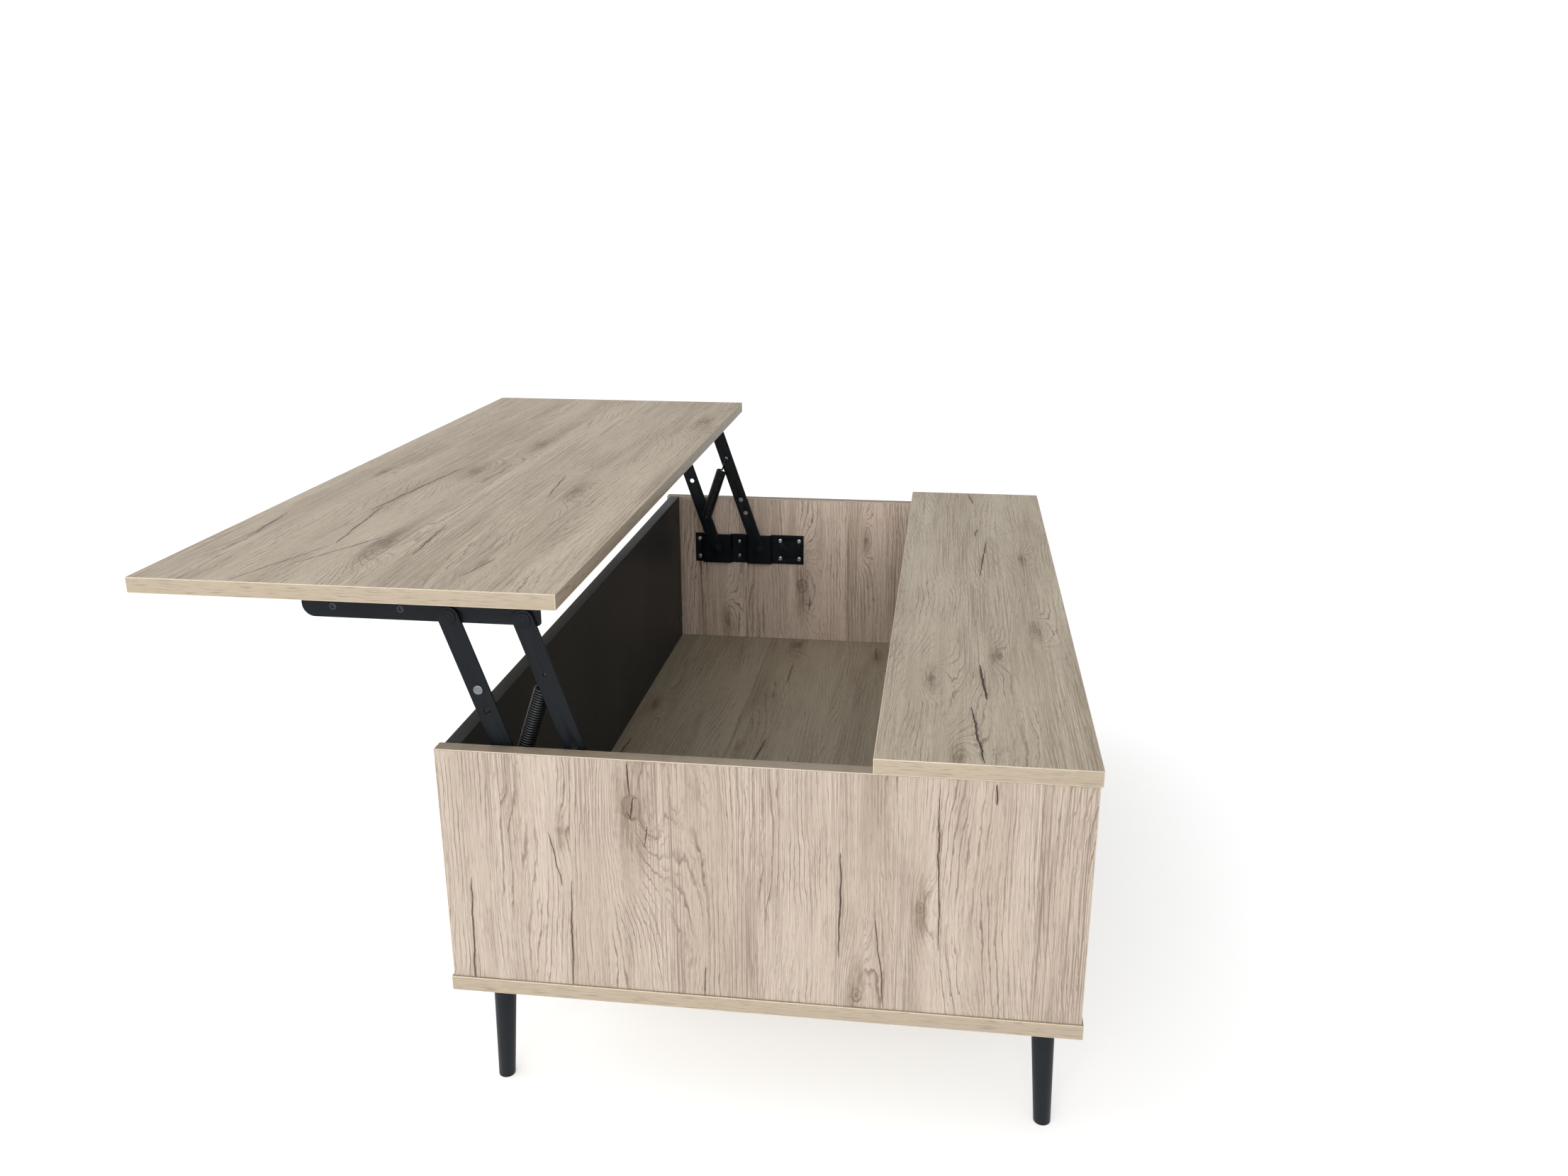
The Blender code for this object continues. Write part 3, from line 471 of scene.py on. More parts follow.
def holder_of(name, data):
    """Plain object in the scene that holds some data for a while."""
    holder = bpy.data.objects.new(name, data)
    bpy.context.scene.collection.objects.link(holder)
    return holder


def plate_mesh(name, loops, thickness, edge, matrix=None):
    """Flat plate from an outline and its holes, its cut edges rounded."""
    curve = bpy.data.curves.new(name, "CURVE")
    curve.dimensions = "2D"
    curve.fill_mode = "BOTH"
    curve.extrude = thickness / 2 - edge
    if edge:
        curve.bevel_depth = edge
        curve.bevel_resolution = 2
        curve.offset = -edge
    for loop in loops:
        spline = curve.splines.new("POLY")
        spline.points.add(len(loop) - 1)
        for point, (u, v) in zip(spline.points, loop):
            point.co = (u, v, 0, 1)
        spline.use_cyclic_u = True
    return shaded(settled(holder_of(name, curve), name, matrix))


def wire_mesh(name, points, radius):
    """Round wire along points, with filled caps."""
    curve = bpy.data.curves.new(name, "CURVE")
    curve.dimensions = "3D"
    curve.bevel_depth = radius
    curve.bevel_resolution = WIRE_RESOLUTION
    curve.use_fill_caps = True
    spline = curve.splines.new("POLY")
    spline.points.add(len(points) - 1)
    for point, place in zip(spline.points, points):
        point.co = (*place, 1)
    return shaded(settled(holder_of(name, curve), name), 50)


def turned_mesh(name, profile, steps=48):
    """Turn a profile of (radius, height) about local Z."""
    shape = bmesh.new()
    points = [shape.verts.new((radius, 0, height)) for radius, height in profile]
    edges = [shape.edges.new(pair) for pair in zip(points, points[1:])]
    bmesh.ops.spin(
        shape, geom=points + edges, cent=(0, 0, 0), axis=(0, 0, 1),
        angle=math.tau, steps=steps, use_merge=True, use_duplicate=False)
    bmesh.ops.remove_doubles(shape, verts=shape.verts, dist=WELD_DISTANCE)
    face_outward(shape)
    mesh = bpy.data.meshes.new(name)
    shape.to_mesh(mesh)
    shape.free()
    return shaded(mesh)


def cut_mesh(name, mesh, tool, operation="DIFFERENCE"):
    """Mesh cut by another with an exact Boolean."""
    blank = holder_of(name, mesh)
    cutter = holder_of("cutter", tool)
    modifier = blank.modifiers.new("cut", "BOOLEAN")
    modifier.operation = operation
    modifier.object = cutter
    modifier.solver = "EXACT"
    result = settled(blank, name)
    bpy.data.objects.remove(cutter, do_unlink=True)
    return result


def edged_mesh(name, mesh, width):
    """Mesh with its sharp edges rounded."""
    blank = holder_of(name, mesh)
    bevel = blank.modifiers.new("edge", "BEVEL")
    bevel.width = width
    bevel.segments = 2
    bevel.limit_method = "ANGLE"
    bevel.angle_limit = math.radians(50)
    bevel.use_clamp_overlap = True
    return shaded(settled(blank, name), 35)


def block_mesh(name, low, high):
    """Box between two corners."""
    size = Vector(high) - Vector(low)
    middle = (Vector(high) + Vector(low)) / 2
    mesh = bpy.data.meshes.new(name)
    shape = bmesh.new()
    bmesh.ops.create_cube(shape, size=1)
    bmesh.ops.scale(shape, verts=shape.verts, vec=size)
    bmesh.ops.translate(shape, verts=shape.verts, vec=middle)
    shape.to_mesh(mesh)
    shape.free()
    return mesh


def band_mesh(name, low, high, outward, radius):
    """Edge band: a strip whose outer edges are trimmed round, the trim in material 1."""
    mesh = block_mesh(name, low, high)
    shape = bmesh.new()
    shape.from_mesh(mesh)
    shape.normal_update()
    outer = [face for face in shape.faces if face.normal.dot(outward) > 0.9]
    bmesh.ops.bevel(
        shape, geom=outer[0].edges[:], offset=radius, offset_type="OFFSET", segments=3,
        profile=0.5, affect="EDGES", material=1, clamp_overlap=True)
    shape.to_mesh(mesh)
    shape.free()
    return shaded(mesh, 60)


# ---------------------------------------------------------------- shader helpers


class Graph:
    """A node tree and short ways of adding to it."""

    def __init__(self, tree):
        self.tree = tree

    def add(self, kind, **settings):
        """Add a node and set its properties."""
        node = self.tree.nodes.new(kind)
        for key, value in settings.items():
            setattr(node, key, value)
        return node

    def feed(self, socket, value):
        """Link a socket to another, or give it a value."""
        if isinstance(value, NodeSocket):
            self.tree.links.new(value, socket)
        elif value is not None:
            socket.default_value = value

    def math(self, operation, *values, clamp=False):
        """Math node of one, two or three values."""
        node = self.add("ShaderNodeMath", operation=operation, use_clamp=clamp)
        for socket, value in zip(node.inputs, values):
            self.feed(socket, value)
        return node.outputs[0]

    def total(self, *values):
        """Sum of several values."""
        result = values[0]
        for value in values[1:]:
            result = self.math("ADD", result, value)
        return result

    def times(self, *values):
        """Product of several values."""
        result = values[0]
        for value in values[1:]:
            result = self.math("MULTIPLY", result, value)
        return result

    def vector(self, operation, *values):
        """Vector Math node."""
        node = self.add("ShaderNodeVectorMath", operation=operation)
        for socket, value in zip(node.inputs, values):
            self.feed(socket, value)
        return node.outputs["Value" if operation == "DOT_PRODUCT" else "Vector"]

    def ramp(self, value, low, high, start=0.0, end=1.0):
        """Value eased from start at low to end at high."""
        node = self.add("ShaderNodeMapRange", interpolation_type="SMOOTHSTEP")
        for socket, given in zip(node.inputs, (value, low, high, start, end)):
            self.feed(socket, given)
        return node.outputs[0]

    def noise(self, place, stretch, detail=2.0, roughness=0.5):
        """Noise of a place stretched by three factors, from 0 to 1."""
        node = self.add("ShaderNodeTexNoise", noise_dimensions="3D")
        self.feed(node.inputs["Vector"], self.vector("MULTIPLY", place, stretch))
        node.inputs["Scale"].default_value = 1
        node.inputs["Detail"].default_value = detail
        node.inputs["Roughness"].default_value = roughness
        return node.outputs[0]

    def mix(self, share, first, second):
        """Mix of two colours."""
        node = self.add("ShaderNodeMix", data_type="RGBA")
        self.feed(node.inputs[0], share)
        for socket, colour in ((node.inputs[6], first), (node.inputs[7], second)):
            self.feed(socket, colour if isinstance(colour, NodeSocket) else (*colour, 1))
        return node.outputs[2]

    def parts(self, vector):
        """X, Y and Z of a vector."""
        node = self.add("ShaderNodeSeparateXYZ")
        self.feed(node.inputs[0], vector)
        return node.outputs

    def joined(self, *values):
        """Vector of three values."""
        node = self.add("ShaderNodeCombineXYZ")
        for socket, value in zip(node.inputs, values):
            self.feed(socket, value)
        return node.outputs[0]

    def group(self, tree, **values):
        """Place a node group and feed its inputs by name, with _ for a space."""
        node = self.add("ShaderNodeGroup", node_tree=tree)
        for key, value in values.items():
            self.feed(node.inputs[key.replace("_", " ")], value)
        return node.outputs


def group_tree(name, inputs, outputs):
    """New node group with its sockets; returns its graph, input sockets and output node."""
    tree = bpy.data.node_groups.new(name, "ShaderNodeTree")
    for label, kind, default in inputs:
        socket = tree.interface.new_socket(label, in_out="INPUT", socket_type=f"NodeSocket{kind}")
        if kind == "Float":
            socket.default_value = default
    for label, kind in outputs:
        tree.interface.new_socket(label, in_out="OUTPUT", socket_type=f"NodeSocket{kind}")
    graph = Graph(tree)
    entry = graph.add("NodeGroupInput")
    leave = graph.add("NodeGroupOutput")
    return graph, entry.outputs, leave.inputs


def found_group(name, make):
    """Node group by name, made at its first use."""
    return bpy.data.node_groups.get(name) or make(name)


def oak_decor_group(name):
    """Printed oak: plank by plank tone, grain lines, fine streaks and their relief."""
    graph, given, out = group_tree(name, (
        ("Vector", "Vector", None),
        ("Seed", "Float", 0.0),
        ("Plank Width", "Float", 0.125),
        ("Line Spacing", "Float", 0.004),
        ("Figure", "Float", 22.0),
        ("Rings", "Float", 0.0),
    ), (("Tone", "Float"), ("Smoke", "Float"), ("Lines", "Float"), ("Streaks", "Float"),
        ("Height", "Float")))
    along, across, depth = graph.parts(given["Vector"])
    plank = graph.math("FLOOR", graph.math("DIVIDE", across, given["Plank Width"]))
    chance = graph.add("ShaderNodeTexWhiteNoise", noise_dimensions="1D")
    graph.feed(chance.inputs["W"], graph.math("MULTIPLY_ADD", given["Seed"], 7.31, plank))
    colour = graph.add("ShaderNodeSeparateColor")
    graph.feed(colour.inputs[0], chance.outputs["Color"])
    shift_along = graph.math("MULTIPLY_ADD", colour.outputs[0], 6.0, along)
    shift_across = graph.math("MULTIPLY_ADD", colour.outputs[1], 2.0, across)
    place = graph.joined(shift_along, shift_across, graph.math("MULTIPLY", depth, 0.02))

    figure = graph.noise(place, (1.9, 9.0, 1.0), 1.0, 0.35)
    wobble = graph.noise(place, (16.0, 60.0, 1.0), 2.0)
    jitter = graph.noise(place, (80.0, 420.0, 1.0), 1.0)
    counted = graph.math("MULTIPLY", shift_across, 0.70)
    straight = graph.math("DIVIDE", counted, given["Line Spacing"])
    field = graph.total(
        straight, graph.math("MULTIPLY", figure, given["Figure"]),
        graph.math("MULTIPLY", wobble, 1.5), graph.math("MULTIPLY", jitter, 0.42), given["Rings"])

    def ring_lines(rings, width):
        """Thin line at each whole number of rings, sharp on one side and soft on the other."""
        phase = graph.math("FRACT", rings)
        tail = graph.ramp(phase, 0.0, width, 1.0, 0.0)
        rise = graph.ramp(phase, 0.92, 1.0, 0.0, 1.0)
        return graph.math("MAXIMUM", tail, rise)

    strong = graph.ramp(graph.noise(place, (9.0, 48.0, 1.0), 2.0), 0.38, 0.62, 0.22, 1.0)
    faint = graph.ramp(graph.noise(place, (14.0, 95.0, 1.0), 1.0), 0.36, 0.66, 0.10, 0.62)
    first = graph.times(ring_lines(field, 0.25), strong)
    second = graph.times(ring_lines(graph.math("MULTIPLY", field, 2.37), 0.38), faint)
    ribs = graph.ramp(graph.noise(place, (5.0, 760.0, 1.0), 2.0, 0.6), 0.48, 0.60)
    ribbed = graph.ramp(graph.noise(place, (0.9, 13.0, 1.0), 1.0), 0.46, 0.58, 0.22, 0.78)
    lines = graph.math("MAXIMUM", graph.math("MAXIMUM", first, second), graph.times(ribs, ribbed))

    pores = graph.noise(place, (55.0, 1050.0, 1.0), 2.0, 0.6)
    streaks = graph.ramp(pores, 0.50, 0.70)
    drift = graph.ramp(graph.noise(place, (1.6, 19.0, 1.0), 3.0, 0.6), 0.34, 0.68)
    fibre = graph.ramp(graph.noise(place, (4.0, 620.0, 1.0), 1.0), 0.30, 0.70)
    tone = graph.total(
        graph.math("MULTIPLY", drift, 0.52), graph.math("MULTIPLY", fibre, 0.34),
        graph.math("MULTIPLY", colour.outputs[2], 0.14))
    clouds = graph.noise(place, (3.4, 24.0, 1.0), 4.0, 0.62)
    graph.feed(out["Tone"], tone)
    graph.feed(out["Smoke"], graph.ramp(clouds, 0.50, 0.70))
    graph.feed(out["Lines"], lines)
    graph.feed(out["Streaks"], streaks)
    relief = graph.total(
        graph.math("MULTIPLY", lines, -0.75), graph.math("MULTIPLY", streaks, -0.25))
    graph.feed(out["Height"], relief)
    return graph.tree


def oak_knot_group(name):
    """One knot: rings that bend the grain round it, its dark heart and a soft shade."""
    graph, given, out = group_tree(name, (
        ("Vector", "Vector", None),
        ("Along", "Float", 0.0),
        ("Across", "Float", 0.0),
        ("Radius", "Float", 0.008),
        ("Rings", "Float", 6.0),
    ), (("Rings", "Float"), ("Heart", "Float"), ("Shade", "Float")))
    along, across, _ = graph.parts(given["Vector"])
    u = graph.math("SUBTRACT", along, given["Along"])
    v = graph.math("SUBTRACT", across, given["Across"])
    rough = graph.noise(given["Vector"], (130.0, 260.0, 1.0), 3.0, 0.6)
    rough = graph.math("SUBTRACT", rough, 0.5)

    def reach(stretch, spread):
        """Distance from the knot in radii, the grain direction shortened by stretch."""
        squares = graph.total(
            graph.math("POWER", graph.math("ABSOLUTE", graph.math("DIVIDE", u, stretch)), 2.0),
            graph.math("POWER", graph.math("ABSOLUTE", v), 2.0))
        distance = graph.math("DIVIDE", graph.math("SQRT", squares), given["Radius"])
        return graph.math("MULTIPLY_ADD", rough, spread, distance)

    far = reach(3.4, 0.0)
    bump = graph.math("EXPONENT", graph.math("MULTIPLY", graph.times(far, far), -0.12))
    graph.feed(out["Rings"], graph.times(bump, given["Rings"]))
    near = reach(1.5, 0.9)
    core = graph.ramp(near, 0.24, 0.46, 1.0, 0.0)
    rim = graph.times(
        graph.ramp(near, 0.70, 0.80, 0.0, 1.0), graph.ramp(near, 0.84, 0.98, 1.0, 0.0))
    body = graph.ramp(near, 0.80, 1.00, 0.26, 0.0)
    crumbs = graph.ramp(rough, -0.10, 0.10, 0.35, 1.0)
    dark = graph.math("MAXIMUM", core, rim)
    graph.feed(out["Heart"], graph.math("MAXIMUM", graph.times(dark, crumbs), body))
    tails = graph.ramp(reach(4.2, 1.6), 0.5, 2.4, 1.0, 0.0)
    fibres = graph.noise(given["Vector"], (30.0, 420.0, 1.0), 2.0)
    grainy = graph.ramp(fibres, 0.36, 0.62, 0.30, 1.0)
    graph.feed(out["Shade"], graph.times(tails, grainy))
    return graph.tree


def oak_crack_group(name):
    """One printed crack along the grain, a little crooked and pointed at both ends."""
    graph, given, out = group_tree(name, (
        ("Vector", "Vector", None),
        ("Start", "Float", 0.0),
        ("End", "Float", 0.1),
        ("Across", "Float", 0.0),
        ("Drift", "Float", 0.0),
        ("Width", "Float", 0.001),
    ), (("Mask", "Float"), ("Stain", "Float")))
    along, across, _ = graph.parts(given["Vector"])
    span = graph.math("SUBTRACT", given["End"], given["Start"])
    share = graph.math("DIVIDE", graph.math("SUBTRACT", along, given["Start"]), span, clamp=True)
    bend = graph.math("SUBTRACT", graph.noise(given["Vector"], (45.0, 3.0, 1.0), 3.0), 0.5)
    middle = graph.total(
        given["Across"], graph.math("MULTIPLY", share, given["Drift"]),
        graph.math("MULTIPLY", bend, 0.005))
    away = graph.math("ABSOLUTE", graph.math("SUBTRACT", across, middle))
    taper = graph.times(share, graph.math("SUBTRACT", 1.0, share), 4.0)
    edge = graph.noise(given["Vector"], (160.0, 900.0, 1.0), 2.0)
    half = graph.times(graph.math("SQRT", taper), given["Width"], graph.math("ADD", edge, 0.1))
    share_out = graph.math("DIVIDE", away, graph.math("ADD", half, 0.00001))
    mask = graph.ramp(share_out, 0.55, 1.15, 1.0, 0.0)
    inside = graph.math("GREATER_THAN", taper, 0.0)
    graph.feed(out["Mask"], graph.times(mask, inside))
    wide = graph.math("DIVIDE", away, graph.math("MULTIPLY_ADD", half, 5.0, 0.00001))
    fibres = graph.ramp(graph.noise(given["Vector"], (22.0, 700.0, 1.0), 2.0), 0.40, 0.64)
    graph.feed(out["Stain"], graph.times(graph.ramp(wide, 0.1, 1.2, 1.0, 0.0), inside, fibres))
    return graph.tree


def coating_group(name):
    """Sprayed coating: fine peel, slow patches of gloss and a little dust."""
    graph, given, out = group_tree(name, (
        ("Vector", "Vector", None),
        ("Grain", "Float", 900.0),
        ("Patches", "Float", 14.0),
    ), (("Peel", "Float"), ("Patch", "Float"), ("Dust", "Float")))

    def even(scale, detail):
        """Noise of one scale in every direction."""
        stretch = graph.joined(scale, scale, scale)
        return graph.noise(given["Vector"], stretch, detail)

    graph.feed(out["Peel"], even(given["Grain"], 2.0))
    graph.feed(out["Patch"], graph.ramp(even(given["Patches"], 3.0), 0.3, 0.7))
    specks = even(graph.math("MULTIPLY", given["Grain"], 0.6), 1.0)
    graph.feed(out["Dust"], graph.ramp(specks, 0.66, 0.80))
    return graph.tree


def edge_wear_and_highlight_group(name):
    """Mask of the edges, broken up by noise, from a rounded normal against the plain one; it marks
    edges that are partly worn and partly painted highlight.
    """
    graph, given, out = group_tree(name, (
        ("Vector", "Vector", None),
        ("Radius", "Float", 0.0006),
        ("Amount", "Float", 1.0),
    ), (("Mask", "Float"),))
    rounded = graph.add("ShaderNodeBevel", samples=4)
    graph.feed(rounded.inputs["Radius"], given["Radius"])
    plain = graph.add("ShaderNodeNewGeometry")
    likeness = graph.vector("DOT_PRODUCT", rounded.outputs[0], plain.outputs["Normal"])
    edges = graph.ramp(likeness, 0.80, 0.985, 1.0, 0.0)
    patches = graph.noise(given["Vector"], (230.0, 230.0, 230.0), 3.0)
    broken = graph.ramp(patches, 0.38, 0.60, 0.25, 1.0)
    graph.feed(out["Mask"], graph.times(edges, broken, given["Amount"]))
    return graph.tree


# ---------------------------------------------------------------- materials


def new_material(name, roughness=0.5, metallic=0.0, specular=0.5):
    """Material with its graph, its shader and Object texture coordinates."""
    material = bpy.data.materials.new(name)
    material.use_nodes = True
    graph = Graph(material.node_tree)
    shader = material.node_tree.nodes["Principled BSDF"]
    shader.inputs["Roughness"].default_value = roughness
    shader.inputs["Metallic"].default_value = metallic
    shader.inputs["Specular IOR Level"].default_value = specular
    place = graph.add("ShaderNodeTexCoord").outputs["Object"]
    return material, graph, shader, place


def bump(graph, shader, height, distance):
    """Feed a height to the shader's normal."""
    node = graph.add("ShaderNodeBump")
    node.inputs["Distance"].default_value = distance
    graph.feed(node.inputs["Height"], height)
    graph.feed(shader.inputs["Normal"], node.outputs[0])


def turned_place(graph, place, order):
    """Place with the grain direction first, the direction across it next, then the third."""
    axes = dict(zip("XYZ", graph.parts(place)))
    return graph.joined(*(axes[letter] for letter in order))


def oak_board_material(oak, name, order, seed, knots, cracks, tint_and_painted_light, lines_share):
    """Oak-effect board face. Knots are (along, across, radius, rings), and cracks are
    (start, end, across, drift, half width), in metres in the table's frame."""
    material, graph, shader, place = new_material(name, 0.46)
    vector = turned_place(graph, place, order)
    rings, heart, shade = 0.0, 0.0, 0.0
    knot_tree = found_group("Oak knot", oak_knot_group)
    for along, across, radius, count in knots:
        knot = graph.group(
            knot_tree, Vector=vector, Along=along, Across=across, Radius=radius, Rings=count)
        rings = graph.math("ADD", rings, knot["Rings"])
        heart = graph.math("MAXIMUM", heart, knot["Heart"])
        shade = graph.math("MAXIMUM", shade, knot["Shade"])
    crack = 0.0
    crack_tree = found_group("Oak crack", oak_crack_group)
    for start, end, across, drift, width in cracks:
        one = graph.group(
            crack_tree, Vector=vector, Start=start, End=end, Across=across, Drift=drift,
            Width=width)
        crack = graph.math("MAXIMUM", crack, one["Mask"])
        shade = graph.math("MAXIMUM", shade, one["Stain"])

    decor = graph.group(
        found_group("Oak decor", oak_decor_group), Vector=vector, Seed=seed,
        Plank_Width=oak.plank_width, Line_Spacing=oak.line_spacing, Figure=BOARD_FIGURE,
        Rings=rings)
    # the tint is the wood's slight tint on most boards; on the case floor it is painted shade and
    # on the far end's inside painted light
    light = [value * share for value, share in zip(oak.light_colour, tint_and_painted_light)]
    dark = [value * share for value, share in zip(oak.dark_colour, tint_and_painted_light)]
    wood = graph.mix(decor["Tone"], light, dark)
    wood = graph.mix(graph.math("MULTIPLY", decor["Smoke"], SMOKE_SHARE), wood, oak.knot_colour)
    wood = graph.mix(graph.math("MULTIPLY", decor["Streaks"], STREAK_SHARE), wood, oak.line_colour)
    lines = graph.math("MULTIPLY", decor["Lines"], lines_share)
    wood = graph.mix(lines, wood, oak.line_colour)
    wood = graph.mix(graph.math("MULTIPLY", shade, KNOT_SHADE_SHARE), wood, oak.knot_colour)
    wood = graph.mix(graph.math("MULTIPLY", heart, KNOT_HEART_SHARE), wood, oak.knot_colour)
    wood = graph.mix(crack, wood, oak.crack_colour)
    graph.feed(shader.inputs["Base Color"], wood)
    graph.feed(shader.inputs["Roughness"], graph.math("MULTIPLY_ADD", decor["Lines"], 0.12, 0.44))
    height = graph.total(decor["Height"], graph.math("MULTIPLY", crack, -1.5))
    bump(graph, shader, height, BOARD_RELIEF)
    return material


def oak_band_material(oak, name, order, seed, tint_and_painted_light=1.0):
    """Edge band with short grain marks along its length."""
    material, graph, shader, place = new_material(name, 0.45)
    vector = turned_place(graph, place, order)
    decor = graph.group(
        found_group("Oak decor", oak_decor_group), Vector=vector, Seed=seed,
        Plank_Width=0.9, Line_Spacing=BAND_LINE_SPACING, Figure=BAND_FIGURE, Rings=0.0)
    marks = graph.ramp(graph.noise(vector, (40.0, 1700.0, 1700.0), 1.0), 0.58, 0.70)
    # a tint below one, as on the rim, darkens the band as painted shade
    base = [value * tint_and_painted_light for value in oak.band_colour]
    shaded = [value * tint_and_painted_light for value in oak.dark_colour]
    wood = graph.mix(graph.math("MULTIPLY", decor["Tone"], BAND_TONE_SHARE), base, shaded)
    streaks = graph.math("MULTIPLY", decor["Streaks"], BAND_STREAK_SHARE)
    wood = graph.mix(streaks, wood, oak.line_colour)
    wood = graph.mix(graph.math("MULTIPLY", decor["Lines"], BAND_LINE_SHARE), wood, oak.line_colour)
    wood = graph.mix(graph.math("MULTIPLY", marks, BAND_MARK_SHARE), wood, oak.line_colour)
    graph.feed(shader.inputs["Base Color"], wood)
    graph.feed(shader.inputs["Roughness"], graph.math("MULTIPLY_ADD", marks, 0.1, 0.42))
    bump(graph, shader, decor["Height"], BAND_RELIEF)
    return material


def band_trim_material(oak, name):
    """Trimmed edge of a band, where its paler core shows."""
    material, graph, shader, place = new_material(name, 0.4)
    spots = graph.ramp(graph.noise(place, (150.0, 150.0, 150.0), 3.0), 0.4, 0.7)
    colour = graph.mix(graph.math("MULTIPLY", spots, 0.35), oak.trim_colour, oak.band_colour)
    graph.feed(shader.inputs["Base Color"], colour)
    bump(graph, shader, spots, 0.00003)
    return material


def black_board_material(black, name, lift=1.0):
    """Matt black board with a fine pearl texture and faint scuffs."""
    material, graph, shader, place = new_material(name, 0.5, specular=0.25)
    coat = graph.group(
        found_group("Coating", coating_group), Vector=place, Grain=1100.0, Patches=5.0)
    # a lift above one makes a lighter copy of the board: painted light
    base = [value * lift for value in black.board_colour]
    paler = [value * lift * 1.5 for value in black.board_colour]
    colour = graph.mix(graph.math("MULTIPLY", coat["Patch"], 0.5), base, paler)
    colour = graph.mix(graph.math("MULTIPLY", coat["Dust"], 0.10), colour, (0.4, 0.4, 0.38))
    graph.feed(shader.inputs["Base Color"], colour)
    graph.feed(shader.inputs["Roughness"], graph.math("MULTIPLY_ADD", coat["Patch"], 0.10, 0.42))
    bump(graph, shader, coat["Peel"], 0.00010)
    return material


def coated_steel_material(black, name):
    """Satin black coating on pressed steel, paler along its edges: partly wear and partly painted
    highlight.
    """
    material, graph, shader, place = new_material(name, 0.4, specular=0.16)
    coat = graph.group(
        found_group("Coating", coating_group), Vector=place, Grain=1600.0, Patches=22.0)
    worn = graph.group(
        found_group("Edge wear and highlight", edge_wear_and_highlight_group), Vector=place, Radius=0.0007, Amount=0.55)
    paler = [value * 1.45 for value in black.steel_colour]
    colour = graph.mix(graph.math("MULTIPLY", coat["Patch"], 0.5), black.steel_colour, paler)
    colour = graph.mix(worn["Mask"], colour, black.worn_and_highlight_colour)
    graph.feed(shader.inputs["Base Color"], colour)
    rough = graph.math("MULTIPLY_ADD", coat["Patch"], 0.12, 0.34)
    graph.feed(shader.inputs["Roughness"], graph.math("MULTIPLY_ADD", worn["Mask"], -0.08, rough))
    bump(graph, shader, coat["Peel"], 0.00006)
    return material


def leg_paint_material(black, name):
    """Dark slate paint with a fine peel, chipped a little at the foot's edge; its paler edges are
    partly chipping and partly painted highlight.
    """
    material, graph, shader, place = new_material(name, 0.42, specular=0.2)
    coat = graph.group(
        found_group("Coating", coating_group), Vector=place, Grain=1300.0, Patches=30.0)
    worn = graph.group(
        found_group("Edge wear and highlight", edge_wear_and_highlight_group), Vector=place, Radius=0.0009, Amount=0.5)
    paler = [value * 1.3 for value in black.leg_colour]
    colour = graph.mix(graph.math("MULTIPLY", coat["Patch"], 0.5), black.leg_colour, paler)
    colour = graph.mix(worn["Mask"], colour, black.worn_and_highlight_colour)
    graph.feed(shader.inputs["Base Color"], colour)
    graph.feed(shader.inputs["Roughness"], graph.math("MULTIPLY_ADD", coat["Patch"], 0.10, 0.36))
    bump(graph, shader, coat["Peel"], 0.00008)
    return material


# bare and plated metals besides the settings: colour, roughness and patchiness
CAM_LOCK_METAL = (srgb(80, 82, 80), 0.45, 0.5)
DULL_ZINC = (srgb(138, 143, 145), 0.42, 0.6)
DARK_ZINC = (srgb(70, 73, 76), 0.38, 0.6)


def metal_material(name, colour, roughness, patchiness):
    """Bare or plated metal with fine scratches and patches of duller plating."""
    material, graph, shader, place = new_material(name, roughness, 1.0)
    coat = graph.group(
        found_group("Coating", coating_group), Vector=place, Grain=2600.0, Patches=160.0)
    duller = [value * 0.62 for value in colour]
    tone = graph.mix(graph.math("MULTIPLY", coat["Patch"], patchiness), colour, duller)
    graph.feed(shader.inputs["Base Color"], tone)
    rough = graph.math("MULTIPLY_ADD", coat["Patch"], 0.18, roughness - 0.06)
    graph.feed(shader.inputs["Roughness"], rough)
    bump(graph, shader, coat["Peel"], 0.00003)
    return material


def floor_material(stage, name):
    """Plain pale floor with the faintest mottle."""
    material, graph, shader, place = new_material(name, 0.75, specular=0.2)
    shader.inputs["Emission Color"].default_value = (1, 1, 1, 1)
    seen = graph.add("ShaderNodeLightPath").outputs["Is Camera Ray"]
    glow = graph.math("MULTIPLY_ADD", seen, FLOOR_GLOW_SEEN - FLOOR_GLOW, FLOOR_GLOW)
    graph.feed(shader.inputs["Emission Strength"], glow)
    mottle = graph.noise(place, (3.0, 3.0, 3.0), 3.0)
    darker = [value * 0.985 for value in stage.floor_colour]
    graph.feed(shader.inputs["Base Color"], graph.mix(mottle, stage.floor_colour, darker))
    return material


def material_of(name, make, *values):
    """Material by name, made at its first use."""
    return bpy.data.materials.get(name) or make(*values)


def steel_of(context):
    """The coated steel's material."""
    black = context.scene.table_black
    return material_of("coated_steel", coated_steel_material, black, "coated_steel")


def zinc_of(context):
    """The zinc plating's material."""
    colour = context.scene.table_black.zinc_colour
    return material_of("zinc_plate", metal_material, "zinc_plate", colour, 0.26, 0.6)


# ---------------------------------------------------------------- pieces


def add_piece(name, mesh, materials, body, nodes=()):
    """Put a finished mesh in the scene, riding on a body and standing for CAD nodes."""
    for material in materials:
        mesh.materials.append(material)
    piece = bpy.data.objects.new(name, mesh)
    bpy.context.scene.collection.objects.link(piece)
    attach(piece, body)
    if nodes:
        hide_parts(*nodes)
    return piece


def at_side(sign, distance, y, z):
    """Point from its distance off an end panel's inner face and its Y and Z."""
    return Vector((sign * (INSIDE - distance), y, z))


